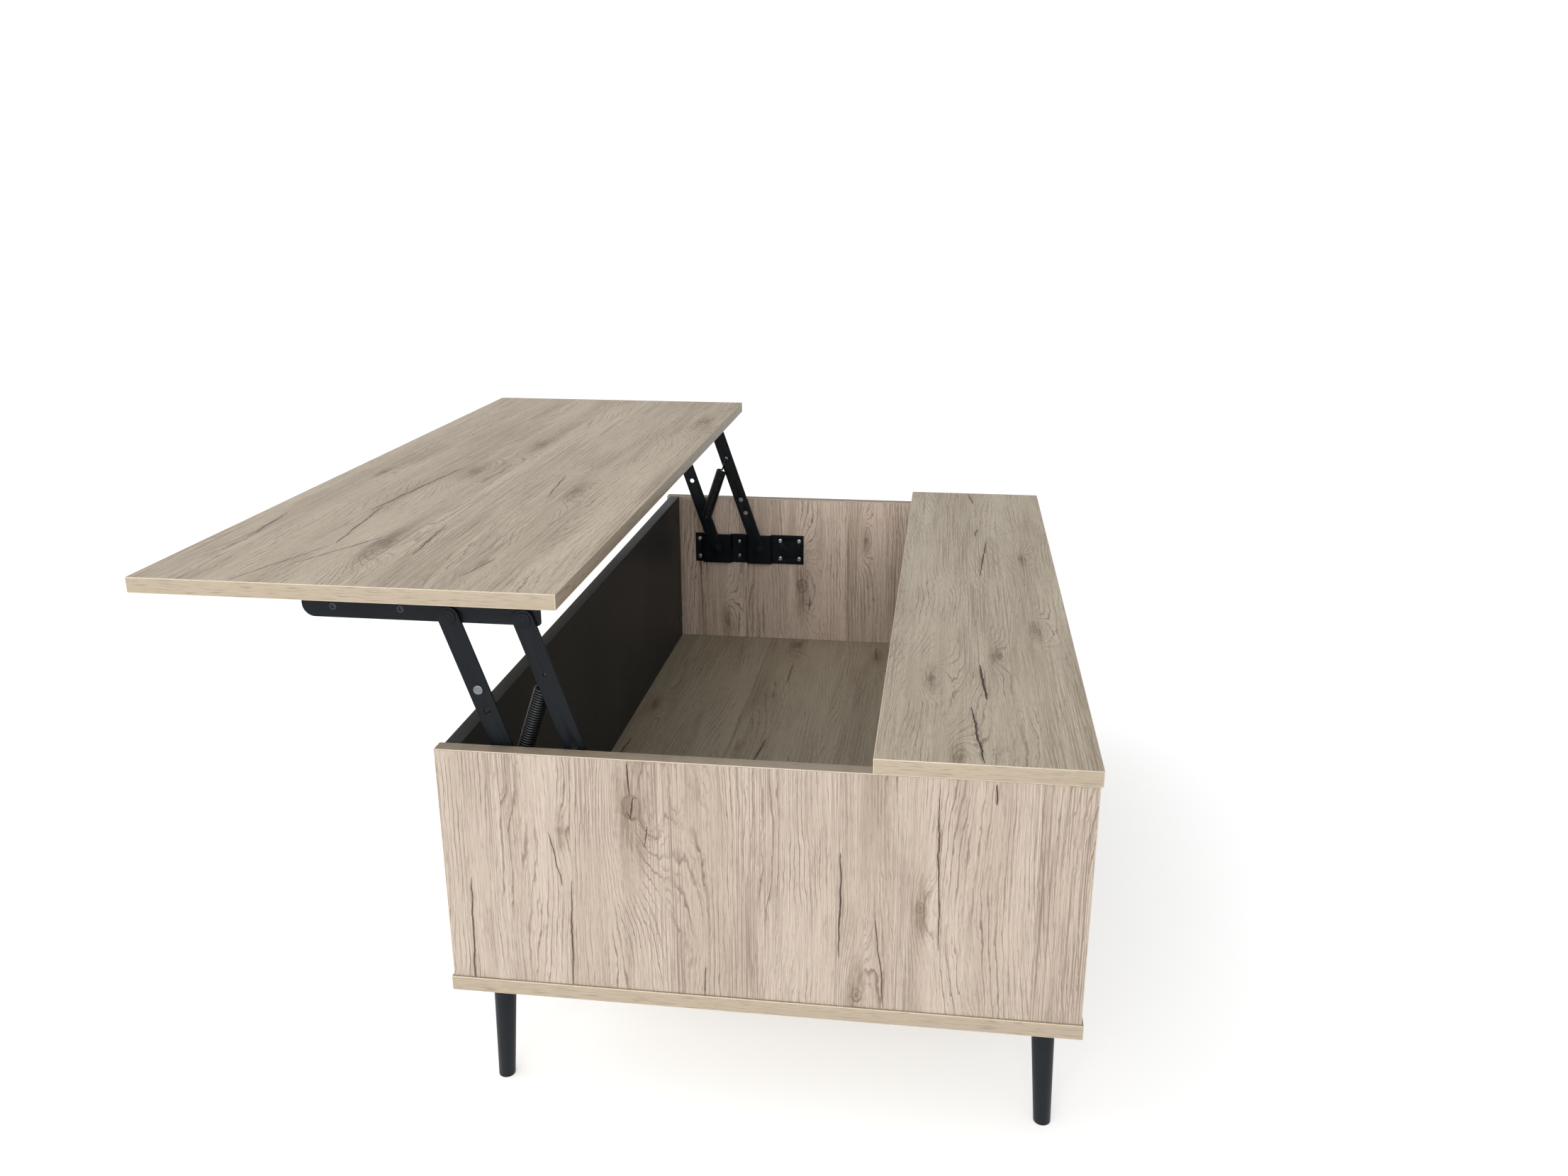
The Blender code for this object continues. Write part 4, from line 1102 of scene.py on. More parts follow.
def facing_room(sign, place):
    """Matrix whose local Z points from the end panel into the room."""
    turn = Matrix.Rotation(-sign * math.pi / 2, 4, "Y")
    return Matrix.Translation(place) @ turn


def facing_panel(sign, place):
    """Matrix whose local Z points towards the end panel."""
    turn = Matrix.Rotation(sign * math.pi / 2, 4, "Y")
    return Matrix.Translation(place) @ turn


def upright(place, lean=0.0):
    """Matrix that stands a flat drawing up: u along Y, v along Z, thickness along X."""
    stand = Matrix(((0, 0, 1, 0), (1, 0, 0, 0), (0, 1, 0, 0), (0, 0, 0, 1)))
    return Matrix.Translation(place) @ Matrix.Rotation(lean, 4, "X") @ stand


def moved(mesh, matrix):
    """Copy of a mesh moved by a matrix."""
    copy = mesh.copy()
    copy.transform(matrix)
    return copy


def banded_board(oak, name, body, materials, sides, trim):
    """Board inside its CAD node's box: a core and an edge band on each named side.

    materials holds the face's material, one for a face turned to -X where that differs, one
    for a top rim, and one band material for each letter of the direction that a band runs in;
    sides are such as "+X" or "-Y"."""
    low, high = (Vector(corner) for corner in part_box(name))
    core_low, core_high = low.copy(), high.copy()
    thickness = oak.band_thickness
    bands = []
    for side in sides:
        axis = "XYZ".index(side[1])
        sign = 1 if side[0] == "+" else -1
        band_low, band_high = core_low.copy(), core_high.copy()
        if sign > 0:
            band_low[axis] = high[axis] - thickness
            core_high[axis] = band_low[axis]
        else:
            band_high[axis] = low[axis] + thickness
            core_low[axis] = band_high[axis]
        bands.append((side, band_low, band_high, sign * AXES[side[1]]))
    mesh = block_mesh(f"{name}_board", core_low, core_high)
    faces = [materials["face"]]
    # a face turned to -X gets its own material where the inside face carries painted light
    if "outside" in materials:
        faces.append(materials["outside"])
        for polygon in mesh.polygons:
            polygon.material_index = int(polygon.normal.x < -0.9)
    add_piece(f"{name}_board", mesh, faces, body, [name])
    for side, band_low, band_high, outward in bands:
        size = band_high - band_low
        along = "XYZ"[max(range(3), key=lambda index: size[index])]
        label = f"{name}_band_{SIDE_WORDS[side]}"
        mesh = band_mesh(label, band_low, band_high, outward, oak.band_radius)
        strip = materials["rim" if side == "+Z" else along]
        add_piece(label, mesh, [strip, trim], body)


# the oak boards' knots (along, across, radius, rings) and cracks (start, end, across, drift,
# half width), listed for each board
LIFT_TOP_KNOTS = (
    (0.042, -0.418, 0.0075, 7.0), (0.362, -0.392, 0.0085, 8.0), (0.127, -0.263, 0.0070, 5.0),
    (-0.128, -0.388, 0.0070, 6.0), (-0.323, -0.203, 0.0080, 6.0), (0.420, -0.268, 0.0030, 9.0),
    (0.058, -0.527, 0.0045, 4.0))
LIFT_TOP_CRACKS = (
    (0.02, 0.24, -0.440, -0.020, 0.0019), (0.38, 0.50, -0.440, -0.038, 0.0010),
    (0.33, 0.44, -0.395, -0.050, 0.0012), (0.40, 0.46, -0.262, -0.012, 0.0011),
    (0.22, 0.37, -0.455, 0.018, 0.0014), (0.29, 0.40, -0.355, 0.010, 0.0012),
    (0.26, 0.36, -0.545, 0.010, 0.0011), (0.05, 0.16, -0.300, 0.012, 0.0011))
FIXED_TOP_KNOTS = (
    (-0.134, 0.258, 0.0045, 4.0), (0.150, 0.261, 0.0050, 7.0), (0.232, 0.215, 0.0040, 3.0),
    (0.305, 0.149, 0.0055, 5.0), (0.487, 0.176, 0.0045, 4.0))
FIXED_TOP_CRACKS = (
    (-0.496, -0.430, 0.191, 0.008, 0.0014), (-0.281, -0.237, 0.203, -0.004, 0.0012),
    (-0.218, -0.046, 0.215, -0.012, 0.0015), (0.261, 0.355, 0.198, 0.006, 0.0026),
    (0.374, 0.498, 0.188, 0.011, 0.0019))
END_PANEL_KNOTS = (
    (0.348, -0.115, 0.0100, 9.0), (0.265, 0.148, 0.0045, 4.0), (0.320, -0.183, 0.0030, 2.0),
    (0.168, 0.092, 0.0060, 5.0))
END_PANEL_CRACKS = (
    (0.265, 0.150, -0.272, -0.005, 0.0011), (0.269, 0.150, -0.175, -0.004, 0.0009),
    (0.186, 0.150, -0.050, 0.000, 0.0010), (0.316, 0.206, 0.076, -0.001, 0.0012),
    (0.392, 0.222, 0.161, 0.005, 0.0010), (0.392, 0.372, 0.210, 0.001, 0.0014),
    (0.250, 0.156, 0.108, 0.010, 0.0008), (0.318, 0.262, -0.194, 0.010, 0.0008),
    (0.330, 0.308, -0.101, -0.002, 0.0010), (0.358, 0.336, -0.113, -0.003, 0.0012),
    (0.393, 0.360, -0.117, 0.001, 0.0013), (0.344, 0.334, -0.119, 0.004, 0.0010))
FAR_PANEL_KNOTS = (
    (0.249, -0.074, 0.0090, 9.0), (0.330, 0.030, 0.0040, 4.0), (0.180, -0.200, 0.0050, 5.0))
FAR_PANEL_CRACKS = (
    (0.232, 0.205, -0.062, 0.000, 0.0010), (0.200, 0.155, -0.180, -0.002, 0.0008),
    (0.330, 0.180, -0.245, 0.003, 0.0008), (0.22, 0.158, -0.140, 0.002, 0.0007))
BOTTOM_KNOTS = (
    (-0.455, -0.080, 0.0100, 7.0), (-0.410, 0.058, 0.0050, 9.0), (-0.180, -0.255, 0.0050, 9.0),
    (0.150, -0.120, 0.0080, 6.0), (0.300, 0.120, 0.0070, 6.0))
BOTTOM_CRACKS = (
    (-0.370, -0.284, -0.073, -0.002, 0.0012), (-0.459, -0.400, 0.052, 0.004, 0.0012),
    (-0.080, 0.000, -0.077, -0.006, 0.0019), (-0.060, 0.010, -0.262, -0.003, 0.0016))


def soft_room(settings):
    """World that is white to look at and lights from low down, most from the front right."""
    world = bpy.data.worlds.new("soft_room")
    world.use_nodes = True
    graph = Graph(world.node_tree)
    sky = world.node_tree.nodes["Background"]
    way = graph.add("ShaderNodeTexCoord").outputs["Generated"]
    height = graph.parts(way)[2]
    level = graph.ramp(height, 0.0, 0.9, 1.0, ZENITH_SHARE)
    side = graph.vector("DOT_PRODUCT", way, BRIGHT_SIDE)
    toward = graph.math("MULTIPLY_ADD", side, BRIGHT_SLOPE, MIDDLE_LEVEL)
    light = graph.times(level, toward, settings.sky_light)
    seen = graph.add("ShaderNodeLightPath").outputs["Is Camera Ray"]
    strength = graph.math("ADD", graph.times(graph.math("SUBTRACT", 1.0, seen), light), seen)
    graph.feed(sky.inputs["Strength"], strength)
    sky.inputs["Color"].default_value = (1, 1, 1, 1)
    return world


class TABLE_OT_stage(Operator):
    """Lay the floor, hang the lamps and set up the camera"""

    bl_idname = "table.stage"
    bl_label = "Stage"

    def execute(self, context):
        settings = context.scene.table_stage
        mesh = bpy.data.meshes.new("floor")
        shape = bmesh.new()
        bmesh.ops.create_grid(shape, x_segments=1, y_segments=1, size=FLOOR_HALF)
        shape.to_mesh(mesh)
        shape.free()
        mesh.materials.append(floor_material(settings, "pale_floor"))
        floor = holder_of("floor", mesh)

        context.scene.world = soft_room(settings)
        context.scene.view_settings.view_transform = "Standard"

        lamps = (
            ("key_lamp", settings.key_power, KEY_LAMP),
            ("fill_lamp", settings.fill_power, FILL_LAMP))
        for name, power, (place, target, size) in lamps:
            lamp = bpy.data.lights.new(name, "AREA")
            lamp.energy = power
            lamp.size = size
            item = holder_of(name, lamp)
            item.location = place
            beam = Vector(target) - Vector(place)
            item.rotation_euler = beam.to_track_quat("-Z", "Y").to_euler()

        camera = bpy.data.cameras.new("camera")
        camera.sensor_width = 36
        camera.lens = settings.lens
        camera.clip_start = 0.05
        view = holder_of("camera", camera)
        level = math.cos(CAMERA_PITCH)
        ahead = Vector((
            -math.cos(CAMERA_YAW) * level, math.sin(CAMERA_YAW) * level, -math.sin(CAMERA_PITCH)))
        turn = ahead.to_track_quat("-Z", "Y").to_matrix().to_4x4()
        turn = turn @ Matrix.Rotation(CAMERA_ROLL, 4, "Z")
        view.matrix_world = Matrix.Translation(CAMERA_PLACE) @ turn
        context.scene.camera = view
        return {"FINISHED"}


class TABLE_OT_oak_boards(Operator):
    """Make the oak-effect boards with their edge bands"""

    bl_idname = "table.oak_boards"
    bl_label = "Oak boards"

    def execute(self, context):
        oak = context.scene.table_oak
        trim = band_trim_material(oak, "oak_band_trim")
        # the rim band is a darker copy of the band: painted shade
        bands = {
            "X": oak_band_material(oak, "oak_band_x", "XZY", 3.0),
            "Y": oak_band_material(oak, "oak_band_y", "YZX", 5.0),
            "Z": oak_band_material(oak, "oak_band_z", "ZXY", 9.0),
            "rim": oak_band_material(oak, "oak_rim_painted_shade", "YZX", 7.0, RIM_PAINTED_SHADE)}
        # the case floor's tint is painted shade and the far end's inside tint is painted light
        boards = (
            ("bottom_board", "case", "XYZ", 2.0, BOTTOM_KNOTS, BOTTOM_CRACKS,
             ALL_ROUND, CASE_FLOOR_PAINTED_SHADE),
            ("fixed_top", "case", "XYZ", 11.0, FIXED_TOP_KNOTS, FIXED_TOP_CRACKS,
             ALL_ROUND, FIXED_TOP_TINT),
            ("lift_top", "lift_top", "XYZ", 23.0, LIFT_TOP_KNOTS, LIFT_TOP_CRACKS,
             ALL_ROUND, LIFT_TOP_TINT),
            ("right_end_panel", "case", "ZYX", 31.0, END_PANEL_KNOTS, END_PANEL_CRACKS,
             TOP_AND_ENDS, OUTSIDE_TINT),
            ("left_end_panel", "case", "ZYX", 37.0, FAR_PANEL_KNOTS, FAR_PANEL_CRACKS,
             TOP_AND_ENDS, FAR_INSIDE_PAINTED_LIGHT))
        for name, body, order, seed, knots, cracks, sides, tint_and_painted_light in boards:
            share = UPRIGHT_LINES if order == "ZYX" else LEVEL_LINES
            face = oak_board_material(oak, f"oak_{name}", order, seed, knots, cracks, tint_and_painted_light, share)
            materials = {"face": face, **bands}
            # the far end's outside face gets a copy without the painted light of its inside
            if name == "left_end_panel":
                materials["outside"] = oak_board_material(
                    oak, "oak_left_end_outside", order, seed, knots, cracks, OUTSIDE_TINT, share)
            banded_board(oak, name, body, materials, sides, trim)
        return {"FINISHED"}


class TABLE_OT_black_panels(Operator):
    """Make the black front and rear panel with their top bands and cam locks"""

    bl_idname = "table.black_panels"
    bl_label = "Black panels"

    def execute(self, context):
        black = context.scene.table_black
        oak = context.scene.table_oak
        board = black_board_material(black, "black_board")
        # the top band is a lighter copy of the board: painted light
        edge = black_board_material(black, "black_band_painted_light", BLACK_BAND_PAINTED_LIGHT)
        lock = metal_material("cam_lock_metal", *CAM_LOCK_METAL)
        up = AXES["Z"]
        for name, inward in (("front_panel", 1), ("rear_panel", -1)):
            low, high = (Vector(corner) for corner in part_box(name))
            seam = high.z - oak.band_thickness
            core = block_mesh(f"{name}_board", low, (high.x, high.y, seam))
            add_piece(f"{name}_board", core, [board], "case", [name])
            band = band_mesh(f"{name}_band", (low.x, low.y, seam), high, up, oak.band_radius)
            add_piece(f"{name}_band", band, [edge, edge], "case")
            face = high.y if inward > 0 else low.y
            self.add_locks(name, inward, face, low, high, lock)
        return {"FINISHED"}

    def add_locks(self, name, inward, face, low, high, material):
        """Four cam locks on a panel's inner face, near its ends."""
        mesh = cam_lock_mesh()
        turn = Matrix.Rotation(-inward * math.pi / 2, 4, "X")
        columns = (high.x - CAM_LOCK_FROM_END, low.x + CAM_LOCK_FROM_END)
        rows = (low.z + CAM_LOCK_FROM_EDGE, high.z - CAM_LOCK_FROM_EDGE)
        places = [(x, z) for x in columns for z in rows]
        for index, (x, z) in enumerate(places, 1):
            matrix = Matrix.Translation((x, face, z)) @ turn
            add_piece(f"{name}_cam_lock_{index}", moved(mesh, matrix), [material], "case")


def cross_tool(length, width, depth, top):
    """Cross-shaped driver, its middle at a height on local Z."""
    half, thin = length / 2, width / 2
    outline = []
    for turn in range(4):
        cos, sin = math.cos(turn * math.pi / 2), math.sin(turn * math.pi / 2)
        for u, v in ((half, -thin), (half, thin), (thin, thin)):
            outline.append((u * cos - v * sin, u * sin + v * cos))
    return plate_mesh("cross", [outline], 2 * depth, 0, Matrix.Translation((0, 0, top)))


def cam_lock_mesh():
    """Cam lock flush in the board: a thin domed disc with a cross recess."""
    rim, height = CAM_LOCK_RADIUS, CAM_LOCK_HEIGHT
    profile = [
        (0, height), (rim - CAM_LOCK_CHAMFER, height), (rim - CAM_LOCK_EDGE, 0.7 * height),
        (rim, 0), (0, 0)]
    tool = cross_tool(CAM_RECESS_LENGTH, CAM_RECESS_WIDTH, CAM_RECESS_DEPTH, height)
    return shaded(cut_mesh("cam_lock", turned_mesh("cam_lock", profile), tool))


class TABLE_OT_legs(Operator):
    """Turn the four splayed legs"""

    bl_idname = "table.legs"
    bl_label = "Legs"

    def execute(self, context):
        paint = leg_paint_material(context.scene.table_black, "leg_paint")
        for row, y_sign in (("front", -1), ("rear", 1)):
            for side, _ in SIDES:
                name = f"{row}_{side}_leg"
                mesh = self.leg_mesh(name, y_sign)
                add_piece(f"{name}_turned", mesh, [paint], "case", [name])
        return {"FINISHED"}

    def leg_mesh(self, name, y_sign):
        """Tapered leg, splayed and cut level at its CAD node's top and foot."""
        low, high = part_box(name)
        height = high.z - low.z
        over = LEG_TOP_RADIUS
        taper = (LEG_TOP_RADIUS - LEG_FOOT_RADIUS) / height
        profile = [
            (0, height + over), (LEG_TOP_RADIUS + taper * over, height + over),
            (LEG_FOOT_RADIUS - taper * over, -over), (0, -over)]
        foot_y = high.y - LEG_FOOT_RADIUS if y_sign > 0 else low.y + LEG_FOOT_RADIUS
        foot = Matrix.Translation(((low.x + high.x) / 2, foot_y, low.z))
        mesh = turned_mesh(name, profile, 64)
        mesh.transform(foot @ Matrix.Rotation(y_sign * LEG_SPLAY, 4, "X"))
        shape = bmesh.new()
        shape.from_mesh(mesh)
        for level, way in ((high.z, 1), (low.z, -1)):
            geometry = shape.verts[:] + shape.edges[:] + shape.faces[:]
            cut = bmesh.ops.bisect_plane(
                shape, geom=geometry, plane_co=(0, 0, level), plane_no=(0, 0, way),
                clear_outer=True)
            rim = [item for item in cut["geom_cut"] if isinstance(item, bmesh.types.BMEdge)]
            bmesh.ops.edgeloop_fill(shape, edges=rim)
        rims = [
            edge for edge in shape.edges
            if len(edge.link_faces) == 2 and edge.calc_face_angle(0) > math.radians(60)]
        bmesh.ops.bevel(
            shape, geom=rims, offset=LEG_EDGE, offset_type="OFFSET", segments=3, profile=0.5,
            affect="EDGES", clamp_overlap=True)
        face_outward(shape)
        shape.to_mesh(mesh)
        shape.free()
        return shaded(mesh)


def plate_screw_places():
    """Y and Z of a base plate's screws, front to rear and top to bottom."""
    columns = [FRONT_PIVOT.y - PLATE_SCREW_AHEAD]
    columns += [REAR_PIVOT.y + behind for behind in PLATE_SCREWS_BEHIND]
    rows = (FRONT_PIVOT.z + PLATE_SCREW_SPREAD, FRONT_PIVOT.z - PLATE_SCREW_SPREAD)
    return [(y, z) for y in columns for z in rows]


def plate_rivet_places():
    """Y and Z of a base plate's rivets, midway between its bridges."""
    front_end = FRONT_PIVOT.y + FRONT_BRIDGE_WIDTH / 2
    rear_end = REAR_PIVOT.y - REAR_BRIDGE_WIDTH / 2
    y = (front_end + rear_end) / 2
    return [(y, FRONT_PIVOT.z + PLATE_RIVET_SPREAD), (y, FRONT_PIVOT.z - PLATE_RIVET_SPREAD)]


class TABLE_OT_base_plates(Operator):
    """Press the base plates that carry the arms"""

    bl_idname = "table.base_plates"
    bl_label = "Base plates"

    def execute(self, context):
        steel = steel_of(context)
        for side, sign in SIDES:
            name = f"{side}_base_plate"
            mesh = self.plate_mesh(name, sign, context.scene.table_black.edge_radius)
            add_piece(f"{name}_pressed", mesh, [steel], "case", [name])
        return {"FINISHED"}

    def plate_mesh(self, name, sign, edge):
        """Sheet bent into two bridges, cut to its outline and drilled."""
        path = [(0, -PLATE_AHEAD - BLANK_EXTRA)]
        for middle, width in ((0, FRONT_BRIDGE_WIDTH), (PIVOT_SPACING, REAR_BRIDGE_WIDTH)):
            low, high = middle - width / 2, middle + width / 2
            path += [(0, low), (BRIDGE_HEIGHT, low + BRIDGE_SLOPE)]
            path += [(BRIDGE_HEIGHT, high - BRIDGE_SLOPE), (0, high)]
        path.append((0, PIVOT_SPACING + PLATE_BEHIND + BLANK_EXTRA))
        bent = filleted(path, [BEND_RADIUS] * len(path))
        section = strip_section([Vector((-point.x, point.y)) for point in bent], PLATE_THICKNESS)
        place = at_side(sign, PLATE_BACK, FRONT_PIVOT.y, FRONT_PIVOT.z)
        # the section's first direction points back to the panel, so it turns about for a side
        across = Matrix.Diagonal((sign, 1, 1, 1))
        width = PLATE_HEIGHT + 2 * BLANK_EXTRA
        sheet = plate_mesh(name, [section], width, 0, Matrix.Translation(place) @ across)

        low = (-PLATE_AHEAD, -PLATE_HEIGHT / 2)
        high = (PIVOT_SPACING + PLATE_BEHIND, PLATE_HEIGHT / 2)
        loops = [rounded_rectangle(low, high, [PLATE_CORNER] * 4)]
        loops += [circle((0, 0), PIN_RADIUS + PIN_CLEARANCE)]
        loops += [circle((PIVOT_SPACING, 0), PIN_RADIUS + PIN_CLEARANCE)]
        for y, z in plate_screw_places() + plate_rivet_places():
            centre = (y - FRONT_PIVOT.y, z - FRONT_PIVOT.z)
            loops.append(circle(centre, SCREW_SHANK_RADIUS + PIN_CLEARANCE, 24))
        face = plate_mesh("outline", loops, 8 * BRIDGE_FACE, 0, upright(place))
        return edged_mesh(name, cut_mesh(name, sheet, face, "INTERSECT"), edge)


class TABLE_OT_arms(Operator):
    """Cut the lift arms and set the studs in the front ones"""

    bl_idname = "table.arms"
    bl_label = "Arms"

    def execute(self, context):
        steel = steel_of(context)
        edge = context.scene.table_black.edge_radius
        pivot = PIN_RADIUS + PIN_CLEARANCE
        hook = context.scene.table_spring.wire_radius + HOOK_CLEARANCE
        ends = [(0, pivot), (ARM_LENGTH, pivot)]
        front = ends + [
            (SPRING_LOW_HOOK_AT, hook), (FRONT_ARM_HOLE_AT, FRONT_ARM_HOLE_RADIUS),
            (FRONT_ARM_STUD_AT, STUD_RADIUS + PIN_CLEARANCE)]
        rear = ends + [(SPRING_HIGH_HOOK_AT, hook)]
        rear += [(along, REAR_ARM_HOLE_RADIUS) for along in REAR_ARM_HOLES_AT]
        lean = math.atan2(-ARM_LINE.y, ARM_LINE.z)
        for side, sign in SIDES:
            rows = (("front", FRONT_PIVOT, front), ("rear", REAR_PIVOT, rear))
            for row, axis, holes in rows:
                name = f"{side}_{row}_arm"
                loops = [stadium(ARM_LENGTH, ARM_WIDTH / 2)]
                loops += [circle((0, along), radius) for along, radius in holes]
                middle = at_side(sign, ARM_BACK + ARM_THICKNESS / 2, axis.y, axis.z)
                mesh = plate_mesh(name, loops, ARM_THICKNESS, edge, upright(middle, lean))
                add_piece(f"{name}_bar", mesh, [steel], f"{row}_arms", [name])
            self.add_stud(context, side, sign)
        return {"FINISHED"}

    def add_stud(self, context, side, sign):
        """Stud through the front arm, plated on the panel side and blackened on the other."""
        centre = FRONT_PIVOT + FRONT_ARM_STUD_AT * ARM_LINE
        place = at_side(sign, ARM_BACK + ARM_THICKNESS / 2, centre.y, centre.z)
        half = ARM_THICKNESS / 2 + SEAT_GAP
        head, top = STUD_HEAD_RADIUS, half + STUD_HEAD_HEIGHT
        plated = [
            (0, top - 0.0003), (0.45 * head, top - 0.0003), (0.55 * head, top), (0.86 * head, top),
            (head, top - 0.0004), (head, half), (STUD_RADIUS, half), (STUD_RADIUS, -half),
            (0, -half)]
        mesh = moved(turned_mesh("stud", plated), facing_panel(sign, place))
        name = f"{side}_arm_stud"
        dull = material_of("dull_zinc", metal_material, "dull_zinc", *DULL_ZINC)
        add_piece(f"{name}_plated", mesh, [dull], "front_arms", [name])
        cap = [(0, top), (0.6 * head, top), (head, top - 0.0005), (head, half), (0, half)]
        mesh = moved(turned_mesh("stud_cap", cap), facing_room(sign, place))
        add_piece(f"{name}_cap", mesh, [steel_of(context)], "front_arms")


class TABLE_OT_pivot_pins(Operator):
    """Turn the pins of the arms' eight pivots"""

    bl_idname = "table.pivot_pins"
    bl_label = "Pivot pins"

    def execute(self, context):
        steel = steel_of(context)
        base = self.pin_mesh(ARM_FACE + SEAT_GAP, PLATE_BACK + BRIDGE_HEIGHT - SEAT_GAP)
        top = self.pin_mesh(-(ARM_BACK - SEAT_GAP), -(RAIL_FACE + SEAT_GAP))
        for side, sign in SIDES:
            for row, step in (("front", 0.0), ("rear", PIVOT_SPACING)):
                low = at_side(sign, 0, FRONT_PIVOT.y + step, FRONT_PIVOT.z)
                name = f"{side}_{row}_base_pin"
                mesh = moved(base, facing_room(sign, low))
                add_piece(f"{name}_turned", mesh, [steel], "case", [name])
                high = at_side(sign, 0, FRONT_TOP_PIVOT.y + step, FRONT_TOP_PIVOT.z)
                name = f"{side}_{row}_top_pin"
                mesh = moved(top, facing_panel(sign, high))
                add_piece(f"{name}_turned", mesh, [steel], "lift_top", [name])
        return {"FINISHED"}

    def pin_mesh(self, head_seat, tail_seat):
        """Headed pin along local Z, its head ringed and its tail peened."""
        head, top = PIN_HEAD_RADIUS, head_seat + PIN_HEAD_HEIGHT
        tail, low = PIN_TAIL_RADIUS, tail_seat - PIN_TAIL_HEIGHT
        profile = [
            (0, top), (0.42 * head, top), (0.50 * head, top - 0.0003), (0.56 * head, top - 0.0007),
            (0.64 * head, top - 0.0007), (0.84 * head, top - 0.0007), (0.95 * head, top - 0.0010),
            (head, head_seat + 0.0002), (head, head_seat), (PIN_RADIUS, head_seat),
            (PIN_RADIUS, tail_seat), (tail, tail_seat), (tail, low + 0.0005),
            (tail - 0.0006, low), (0.5 * tail, low), (0.38 * tail, low + 0.0004), (0, low + 0.0004)]
        return turned_mesh("pin", profile)


class TABLE_OT_top_rails(Operator):
    """Bend the two rails under the lift top"""

    bl_idname = "table.top_rails"
    bl_label = "Top rails"

    def execute(self, context):
        steel = steel_of(context)
        edge = context.scene.table_black.edge_radius
        for side, sign in SIDES:
            name = f"{side}_top_rail"
            mesh = self.rail_mesh(name, sign, edge)
            add_piece(f"{name}_bent", mesh, [steel], "lift_top", [name])
        return {"FINISHED"}

    def rail_mesh(self, name, sign, edge):
        """Angle with a rounded bend, its nose cut round, drilled and countersunk."""
        length = RAIL_AHEAD + PIVOT_SPACING + RAIL_BEHIND + 2 * BLANK_EXTRA
        top = PIVOT_BELOW_TOP - SEAT_GAP
        low = top - RAIL_FLANGE_HEIGHT
        outer = RAIL_BEND_RADIUS + RAIL_THICKNESS
        path = [(0, low - BLANK_EXTRA), (0, top), (RAIL_FOOT_WIDTH, top)]
        bent = filleted(path, [outer] * 3, 10)
        section = strip_section(list(reversed(bent)), RAIL_THICKNESS)
        middle = FRONT_TOP_PIVOT.y + length / 2 - RAIL_AHEAD - BLANK_EXTRA
        place = at_side(sign, RAIL_BACK, middle, FRONT_TOP_PIVOT.z)
        lay = Matrix(((-sign, 0, 0, 0), (0, 0, 1, 0), (0, 1, 0, 0), (0, 0, 0, 1)))
        angle = plate_mesh(name, [section], length, 0, Matrix.Translation(place) @ lay)

        corner = (-RAIL_AHEAD, low)
        far = (PIVOT_SPACING + RAIL_BEHIND, 2 * PIVOT_BELOW_TOP)
        loops = [rounded_rectangle(corner, far, (RAIL_NOSE_RADIUS, PLATE_CORNER, 0, 0), 10)]
        loops += [circle((0, 0), PIN_RADIUS + PIN_CLEARANCE)]
        loops += [circle((PIVOT_SPACING, 0), PIN_RADIUS + PIN_CLEARANCE)]
        pivot = at_side(sign, RAIL_BACK, FRONT_TOP_PIVOT.y, FRONT_TOP_PIVOT.z)
        face = plate_mesh("outline", loops, 4 * RAIL_FOOT_WIDTH, 0, upright(pivot))
        rail = cut_mesh(name, angle, face, "INTERSECT")

        cone = SCREW_HEAD_RADIUS - SCREW_SHANK_RADIUS
        wide = SCREW_HEAD_RADIUS + PIN_CLEARANCE
        narrow = SCREW_SHANK_RADIUS + PIN_CLEARANCE
        past = SCREW_HEAD_RADIUS
        sink = [(0, past), (wide, past), (wide, 0), (narrow, -cone), (narrow, -past), (0, -past)]
        for place in flange_screw_places(sign):
            tool = moved(turned_mesh("sink", sink), facing_panel(sign, place))
            rail = cut_mesh(name, rail, tool)
        bore = [(0, past), (narrow, past), (narrow, -past), (0, -past)]
        for place in rail_screw_places(sign):
            tool = moved(turned_mesh("bore", bore), Matrix.Translation(place))
            rail = cut_mesh(name, rail, tool)
        return edged_mesh(name, rail, edge)


def flange_screw_places(sign):
    """Centres of the countersunk screws in a rail's flange."""
    z = TOP_UNDERSIDE - FLANGE_SCREW_DROP
    return [at_side(sign, RAIL_BACK, FRONT_TOP_PIVOT.y + along, z) for along in FLANGE_SCREWS_AT]


def rail_screw_places(sign):
    """Seats of the screws up through a rail's foot."""
    z = TOP_UNDERSIDE - SEAT_GAP - RAIL_THICKNESS
    distance = RAIL_FACE + RAIL_FOOT_WIDTH / 2
    return [at_side(sign, distance, FRONT_TOP_PIVOT.y + along, z) for along in RAIL_SCREWS_AT]


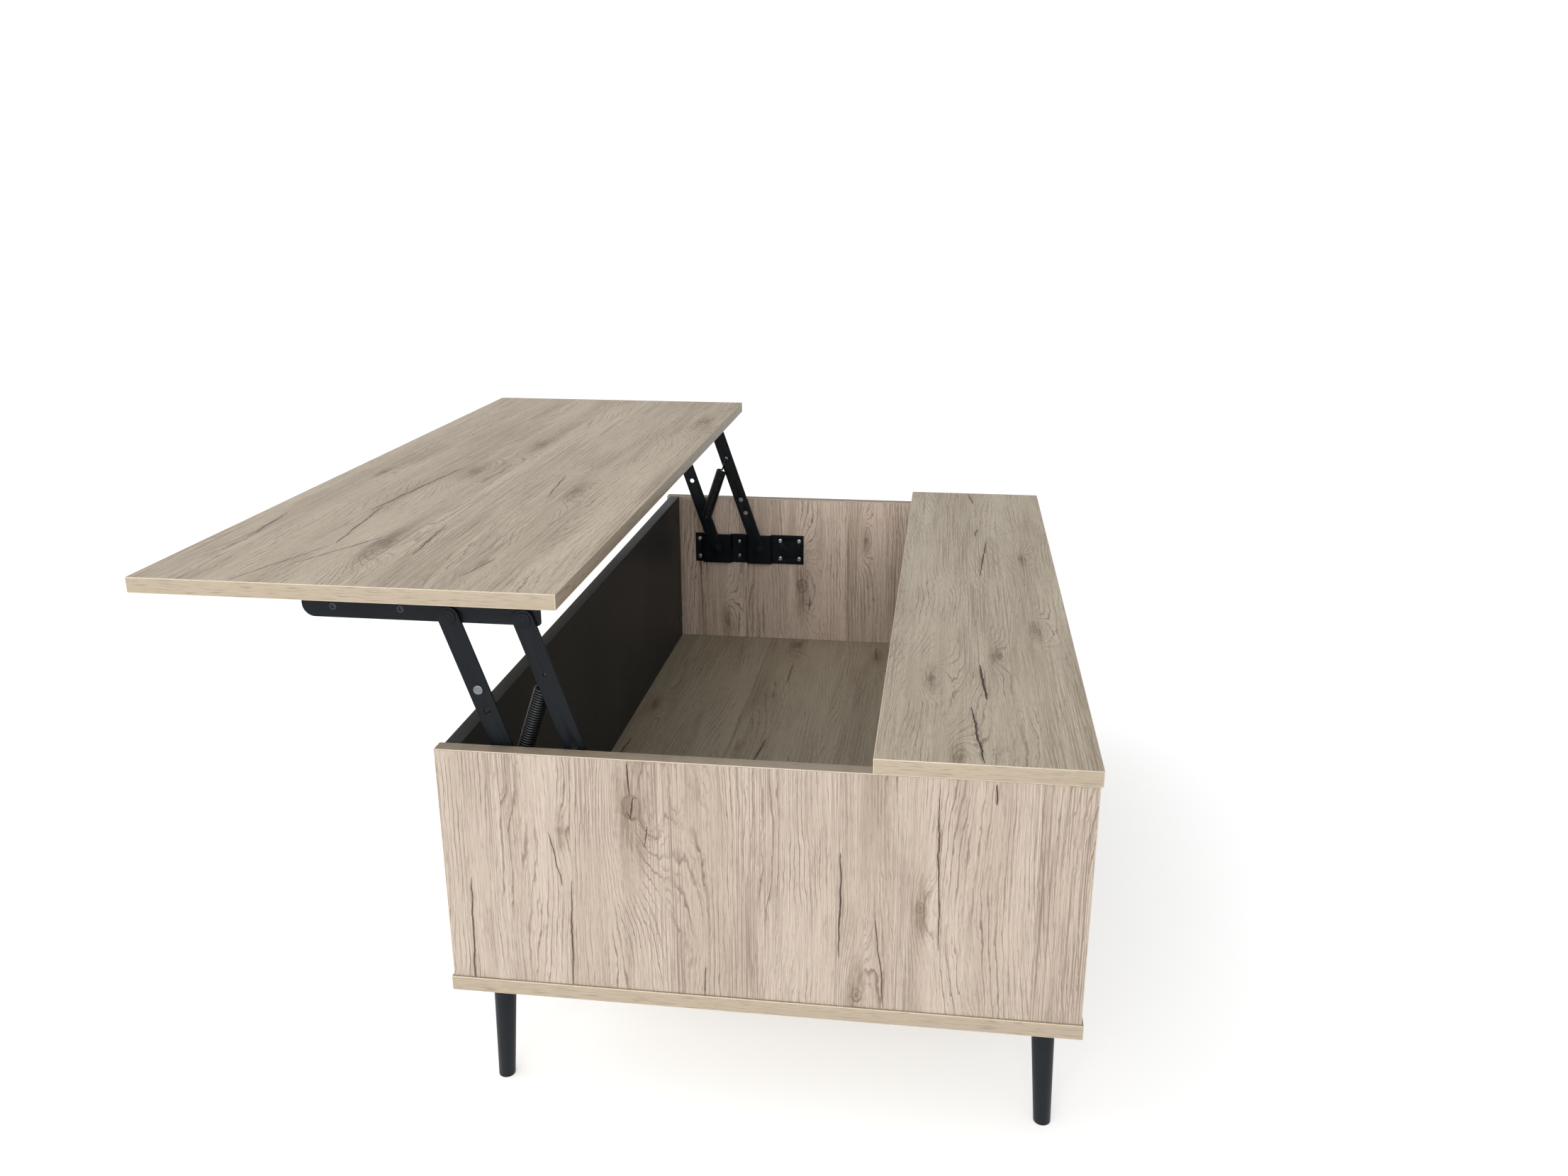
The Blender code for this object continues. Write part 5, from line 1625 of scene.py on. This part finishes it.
class TABLE_OT_fasteners(Operator):
    """Make the screws and rivets of plates and rails"""

    bl_idname = "table.fasteners"
    bl_label = "Screws and rivets"

    def execute(self, context):
        zinc = zinc_of(context)
        dark = metal_material("dark_zinc", *DARK_ZINC)
        pan, flush, rivet = self.pan_screw(), self.flush_screw(), self.rivet()
        seat = PLATE_BACK + PLATE_THICKNESS + SEAT_GAP
        for side, sign in SIDES:
            for index, (y, z) in enumerate(plate_screw_places(), 1):
                turn = Matrix.Rotation(index * PLATE_SCREW_TURN * sign, 4, "Z")
                matrix = facing_room(sign, at_side(sign, seat, y, z)) @ turn
                self.add(f"{side}_plate_screw_{index}", pan, matrix, zinc, "case")
            for index, (y, z) in enumerate(plate_rivet_places(), 1):
                matrix = facing_room(sign, at_side(sign, seat, y, z))
                self.add(f"{side}_plate_rivet_{index}", rivet, matrix, zinc, "case")
            for index, place in enumerate(flange_screw_places(sign), 1):
                turn = Matrix.Rotation(index * FLANGE_SCREW_TURN, 4, "Z")
                matrix = facing_panel(sign, place) @ turn
                self.add(f"{side}_flange_screw_{index}", flush, matrix, dark, "lift_top")
            for index, place in enumerate(rail_screw_places(sign), 1):
                below = Matrix.Translation(place - Vector((0, 0, SEAT_GAP)))
                matrix = below @ Matrix.Rotation(math.pi, 4, "X")
                self.add(f"{side}_rail_screw_{index}", pan, matrix, zinc, "lift_top")
        return {"FINISHED"}

    def add(self, node, mesh, matrix, material, body):
        """One fastener in place of its CAD node."""
        add_piece(f"{node}_turned", moved(mesh, matrix), [material], body, [node])

    def pan_screw(self):
        """Wood screw with a low domed head and a threaded shank; its seat is at local Z = 0."""
        head, top, shank = SCREW_HEAD_RADIUS, SCREW_HEAD_HEIGHT, SCREW_SHANK_RADIUS
        profile = [(0, top), (0.45 * head, top)]
        profile += [
            (0.45 * head + 0.55 * head * math.sin(turn), 0.25 * top + 0.75 * top * math.cos(turn))
            for turn in (math.radians(step * 15) for step in range(1, 7))]
        profile += [(head, 0), (shank, 0)]
        for turn in range(int((SCREW_LENGTH - 2 * shank) / THREAD_PITCH)):
            root, crest = -THREAD_PITCH * (turn + 0.45), -THREAD_PITCH * (turn + 1)
            profile += [(0.78 * shank, root), (shank, crest)]
        profile.append((0, -SCREW_LENGTH))
        tool = cross_tool(RECESS_LENGTH, RECESS_WIDTH, RECESS_DEPTH, top)
        return shaded(cut_mesh("pan_screw", turned_mesh("pan_screw", profile), tool))

    def flush_screw(self):
        """Short countersunk screw; its flat head's top is at local Z = 0."""
        head, shank = SCREW_HEAD_RADIUS, SCREW_SHANK_RADIUS
        profile = [
            (0, 0), (head - 0.0003, 0), (head, -0.0003), (shank, shank - head),
            (shank, -FLANGE_SCREW_LENGTH), (0, -FLANGE_SCREW_LENGTH)]
        tool = cross_tool(RECESS_LENGTH, RECESS_WIDTH, RECESS_DEPTH, 0)
        return shaded(cut_mesh("flush_screw", turned_mesh("flush_screw", profile), tool))

    def rivet(self):
        """Blind rivet through the base plate, hollow in the middle; its seat is at Z = 0."""
        head, top, shank = RIVET_HEAD_RADIUS, RIVET_HEAD_HEIGHT, SCREW_SHANK_RADIUS
        depth = PLATE_THICKNESS + SEAT_GAP
        profile = [
            (0, top - 0.0006), (0.30 * head, top - 0.0006), (0.34 * head, top), (0.60 * head, top),
            (0.82 * head, 0.8 * top), (0.96 * head, 0.4 * top), (head, 0.0001), (head, 0),
            (shank, 0), (shank, -depth), (0, -depth)]
        return turned_mesh("rivet", profile)


class TABLE_OT_springs(Operator):
    """Wind the two lift springs with their hooks"""

    bl_idname = "table.springs"
    bl_label = "Springs"

    def execute(self, context):
        spring = context.scene.table_spring
        colour = context.scene.table_black.spring_colour
        wire = metal_material("spring_wire", colour, 0.30, 0.5)
        rear_hook = REAR_PIVOT + SPRING_HIGH_HOOK_AT * ARM_LINE
        span = (rear_hook - SPRING_LOW).length
        lean = math.atan2(-SPRING_LINE.y, SPRING_LINE.z)
        for side, sign in SIDES:
            name = f"{side}_lift_spring"
            distance = ARM_FACE + SPRING_SIDE_GAP + spring.outer_radius
            place = at_side(sign, distance, SPRING_LOW.y, SPRING_LOW.z)
            matrix = Matrix.Translation(place) @ Matrix.Rotation(lean, 4, "X")
            points = [
                matrix @ point for point in self.wire_points(spring, sign, span, distance)]
            mesh = wire_mesh(f"{name}_coil", points, spring.wire_radius)
            mesh.materials.append(wire)
            piece = holder_of(f"{name}_coil", mesh)
            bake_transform(piece)
            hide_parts(name, f"{side}_spring_hook")
        return {"FINISHED"}

    def wire_points(self, spring, sign, span, distance):
        """Centreline from the low hook's end, up the coil, to the high hook's end."""
        radius = spring.outer_radius - spring.wire_radius
        in_arm = sign * (distance - ARM_BACK - 0.3 * ARM_THICKNESS)
        near = sign * radius
        count = spring.turns * COIL_STEPS
        length = span - SPRING_LOW_REACH - SPRING_HIGH_REACH
        coil = []
        for step in range(count + 1):
            angle = math.tau * step / COIL_STEPS
            height = SPRING_LOW_REACH + length * step / count
            coil.append(Vector((near * math.cos(angle), radius * math.sin(angle), height)))
        points = [Vector((in_arm, 0, 0)), Vector((near, 0, 0)), *coil]
        points += [Vector((near, 0, span)), Vector((in_arm, 0, span))]
        radii = [0.0] * len(points)
        radii[1] = radii[-2] = 2 * spring.wire_radius
        radii[2] = radii[-3] = HOOK_BEND_RADIUS
        return filleted(points, radii)


class TABLE_PT_sidebar(Panel):
    """Settings and steps of the lift top table"""

    bl_idname = "TABLE_PT_sidebar"
    bl_label = "Lift Top Table"
    bl_space_type = "VIEW_3D"
    bl_region_type = "UI"
    bl_category = "Lift Top Table"

    def draw(self, context):
        layout = self.layout
        scene = context.scene
        for settings in (scene.table_oak, scene.table_black, scene.table_spring, scene.table_stage):
            box = layout.box()
            for key in settings.bl_rna.properties.keys():
                if key not in ("rna_type", "name"):
                    box.prop(settings, key)
        for operator in OPERATORS:
            layout.operator(operator.bl_idname)


OPERATORS = (
    TABLE_OT_stage, TABLE_OT_oak_boards, TABLE_OT_black_panels, TABLE_OT_legs,
    TABLE_OT_base_plates, TABLE_OT_arms, TABLE_OT_pivot_pins, TABLE_OT_top_rails,
    TABLE_OT_fasteners, TABLE_OT_springs)
CLASSES = (
    OakSettings, BlackSettings, SpringSettings, StageSettings, *OPERATORS, TABLE_PT_sidebar)
SETTINGS = (
    ("table_oak", OakSettings), ("table_black", BlackSettings),
    ("table_spring", SpringSettings), ("table_stage", StageSettings))


def register():
    """Register the classes and hang the settings on the scene."""
    for item in CLASSES:
        bpy.utils.register_class(item)
    for name, group in SETTINGS:
        setattr(bpy.types.Scene, name, PointerProperty(type=group))


def unregister():
    """Take the settings and the classes away again."""
    for name, _ in SETTINGS:
        delattr(bpy.types.Scene, name)
    for item in reversed(CLASSES):
        bpy.utils.unregister_class(item)


def main():
    """Build the whole table."""
    register()
    bpy.ops.table.stage()
    bpy.ops.table.oak_boards()
    bpy.ops.table.black_panels()
    bpy.ops.table.legs()
    bpy.ops.table.base_plates()
    bpy.ops.table.arms()
    bpy.ops.table.pivot_pins()
    bpy.ops.table.top_rails()
    bpy.ops.table.fasteners()
    bpy.ops.table.springs()


if __name__ == "__main__":
    main()
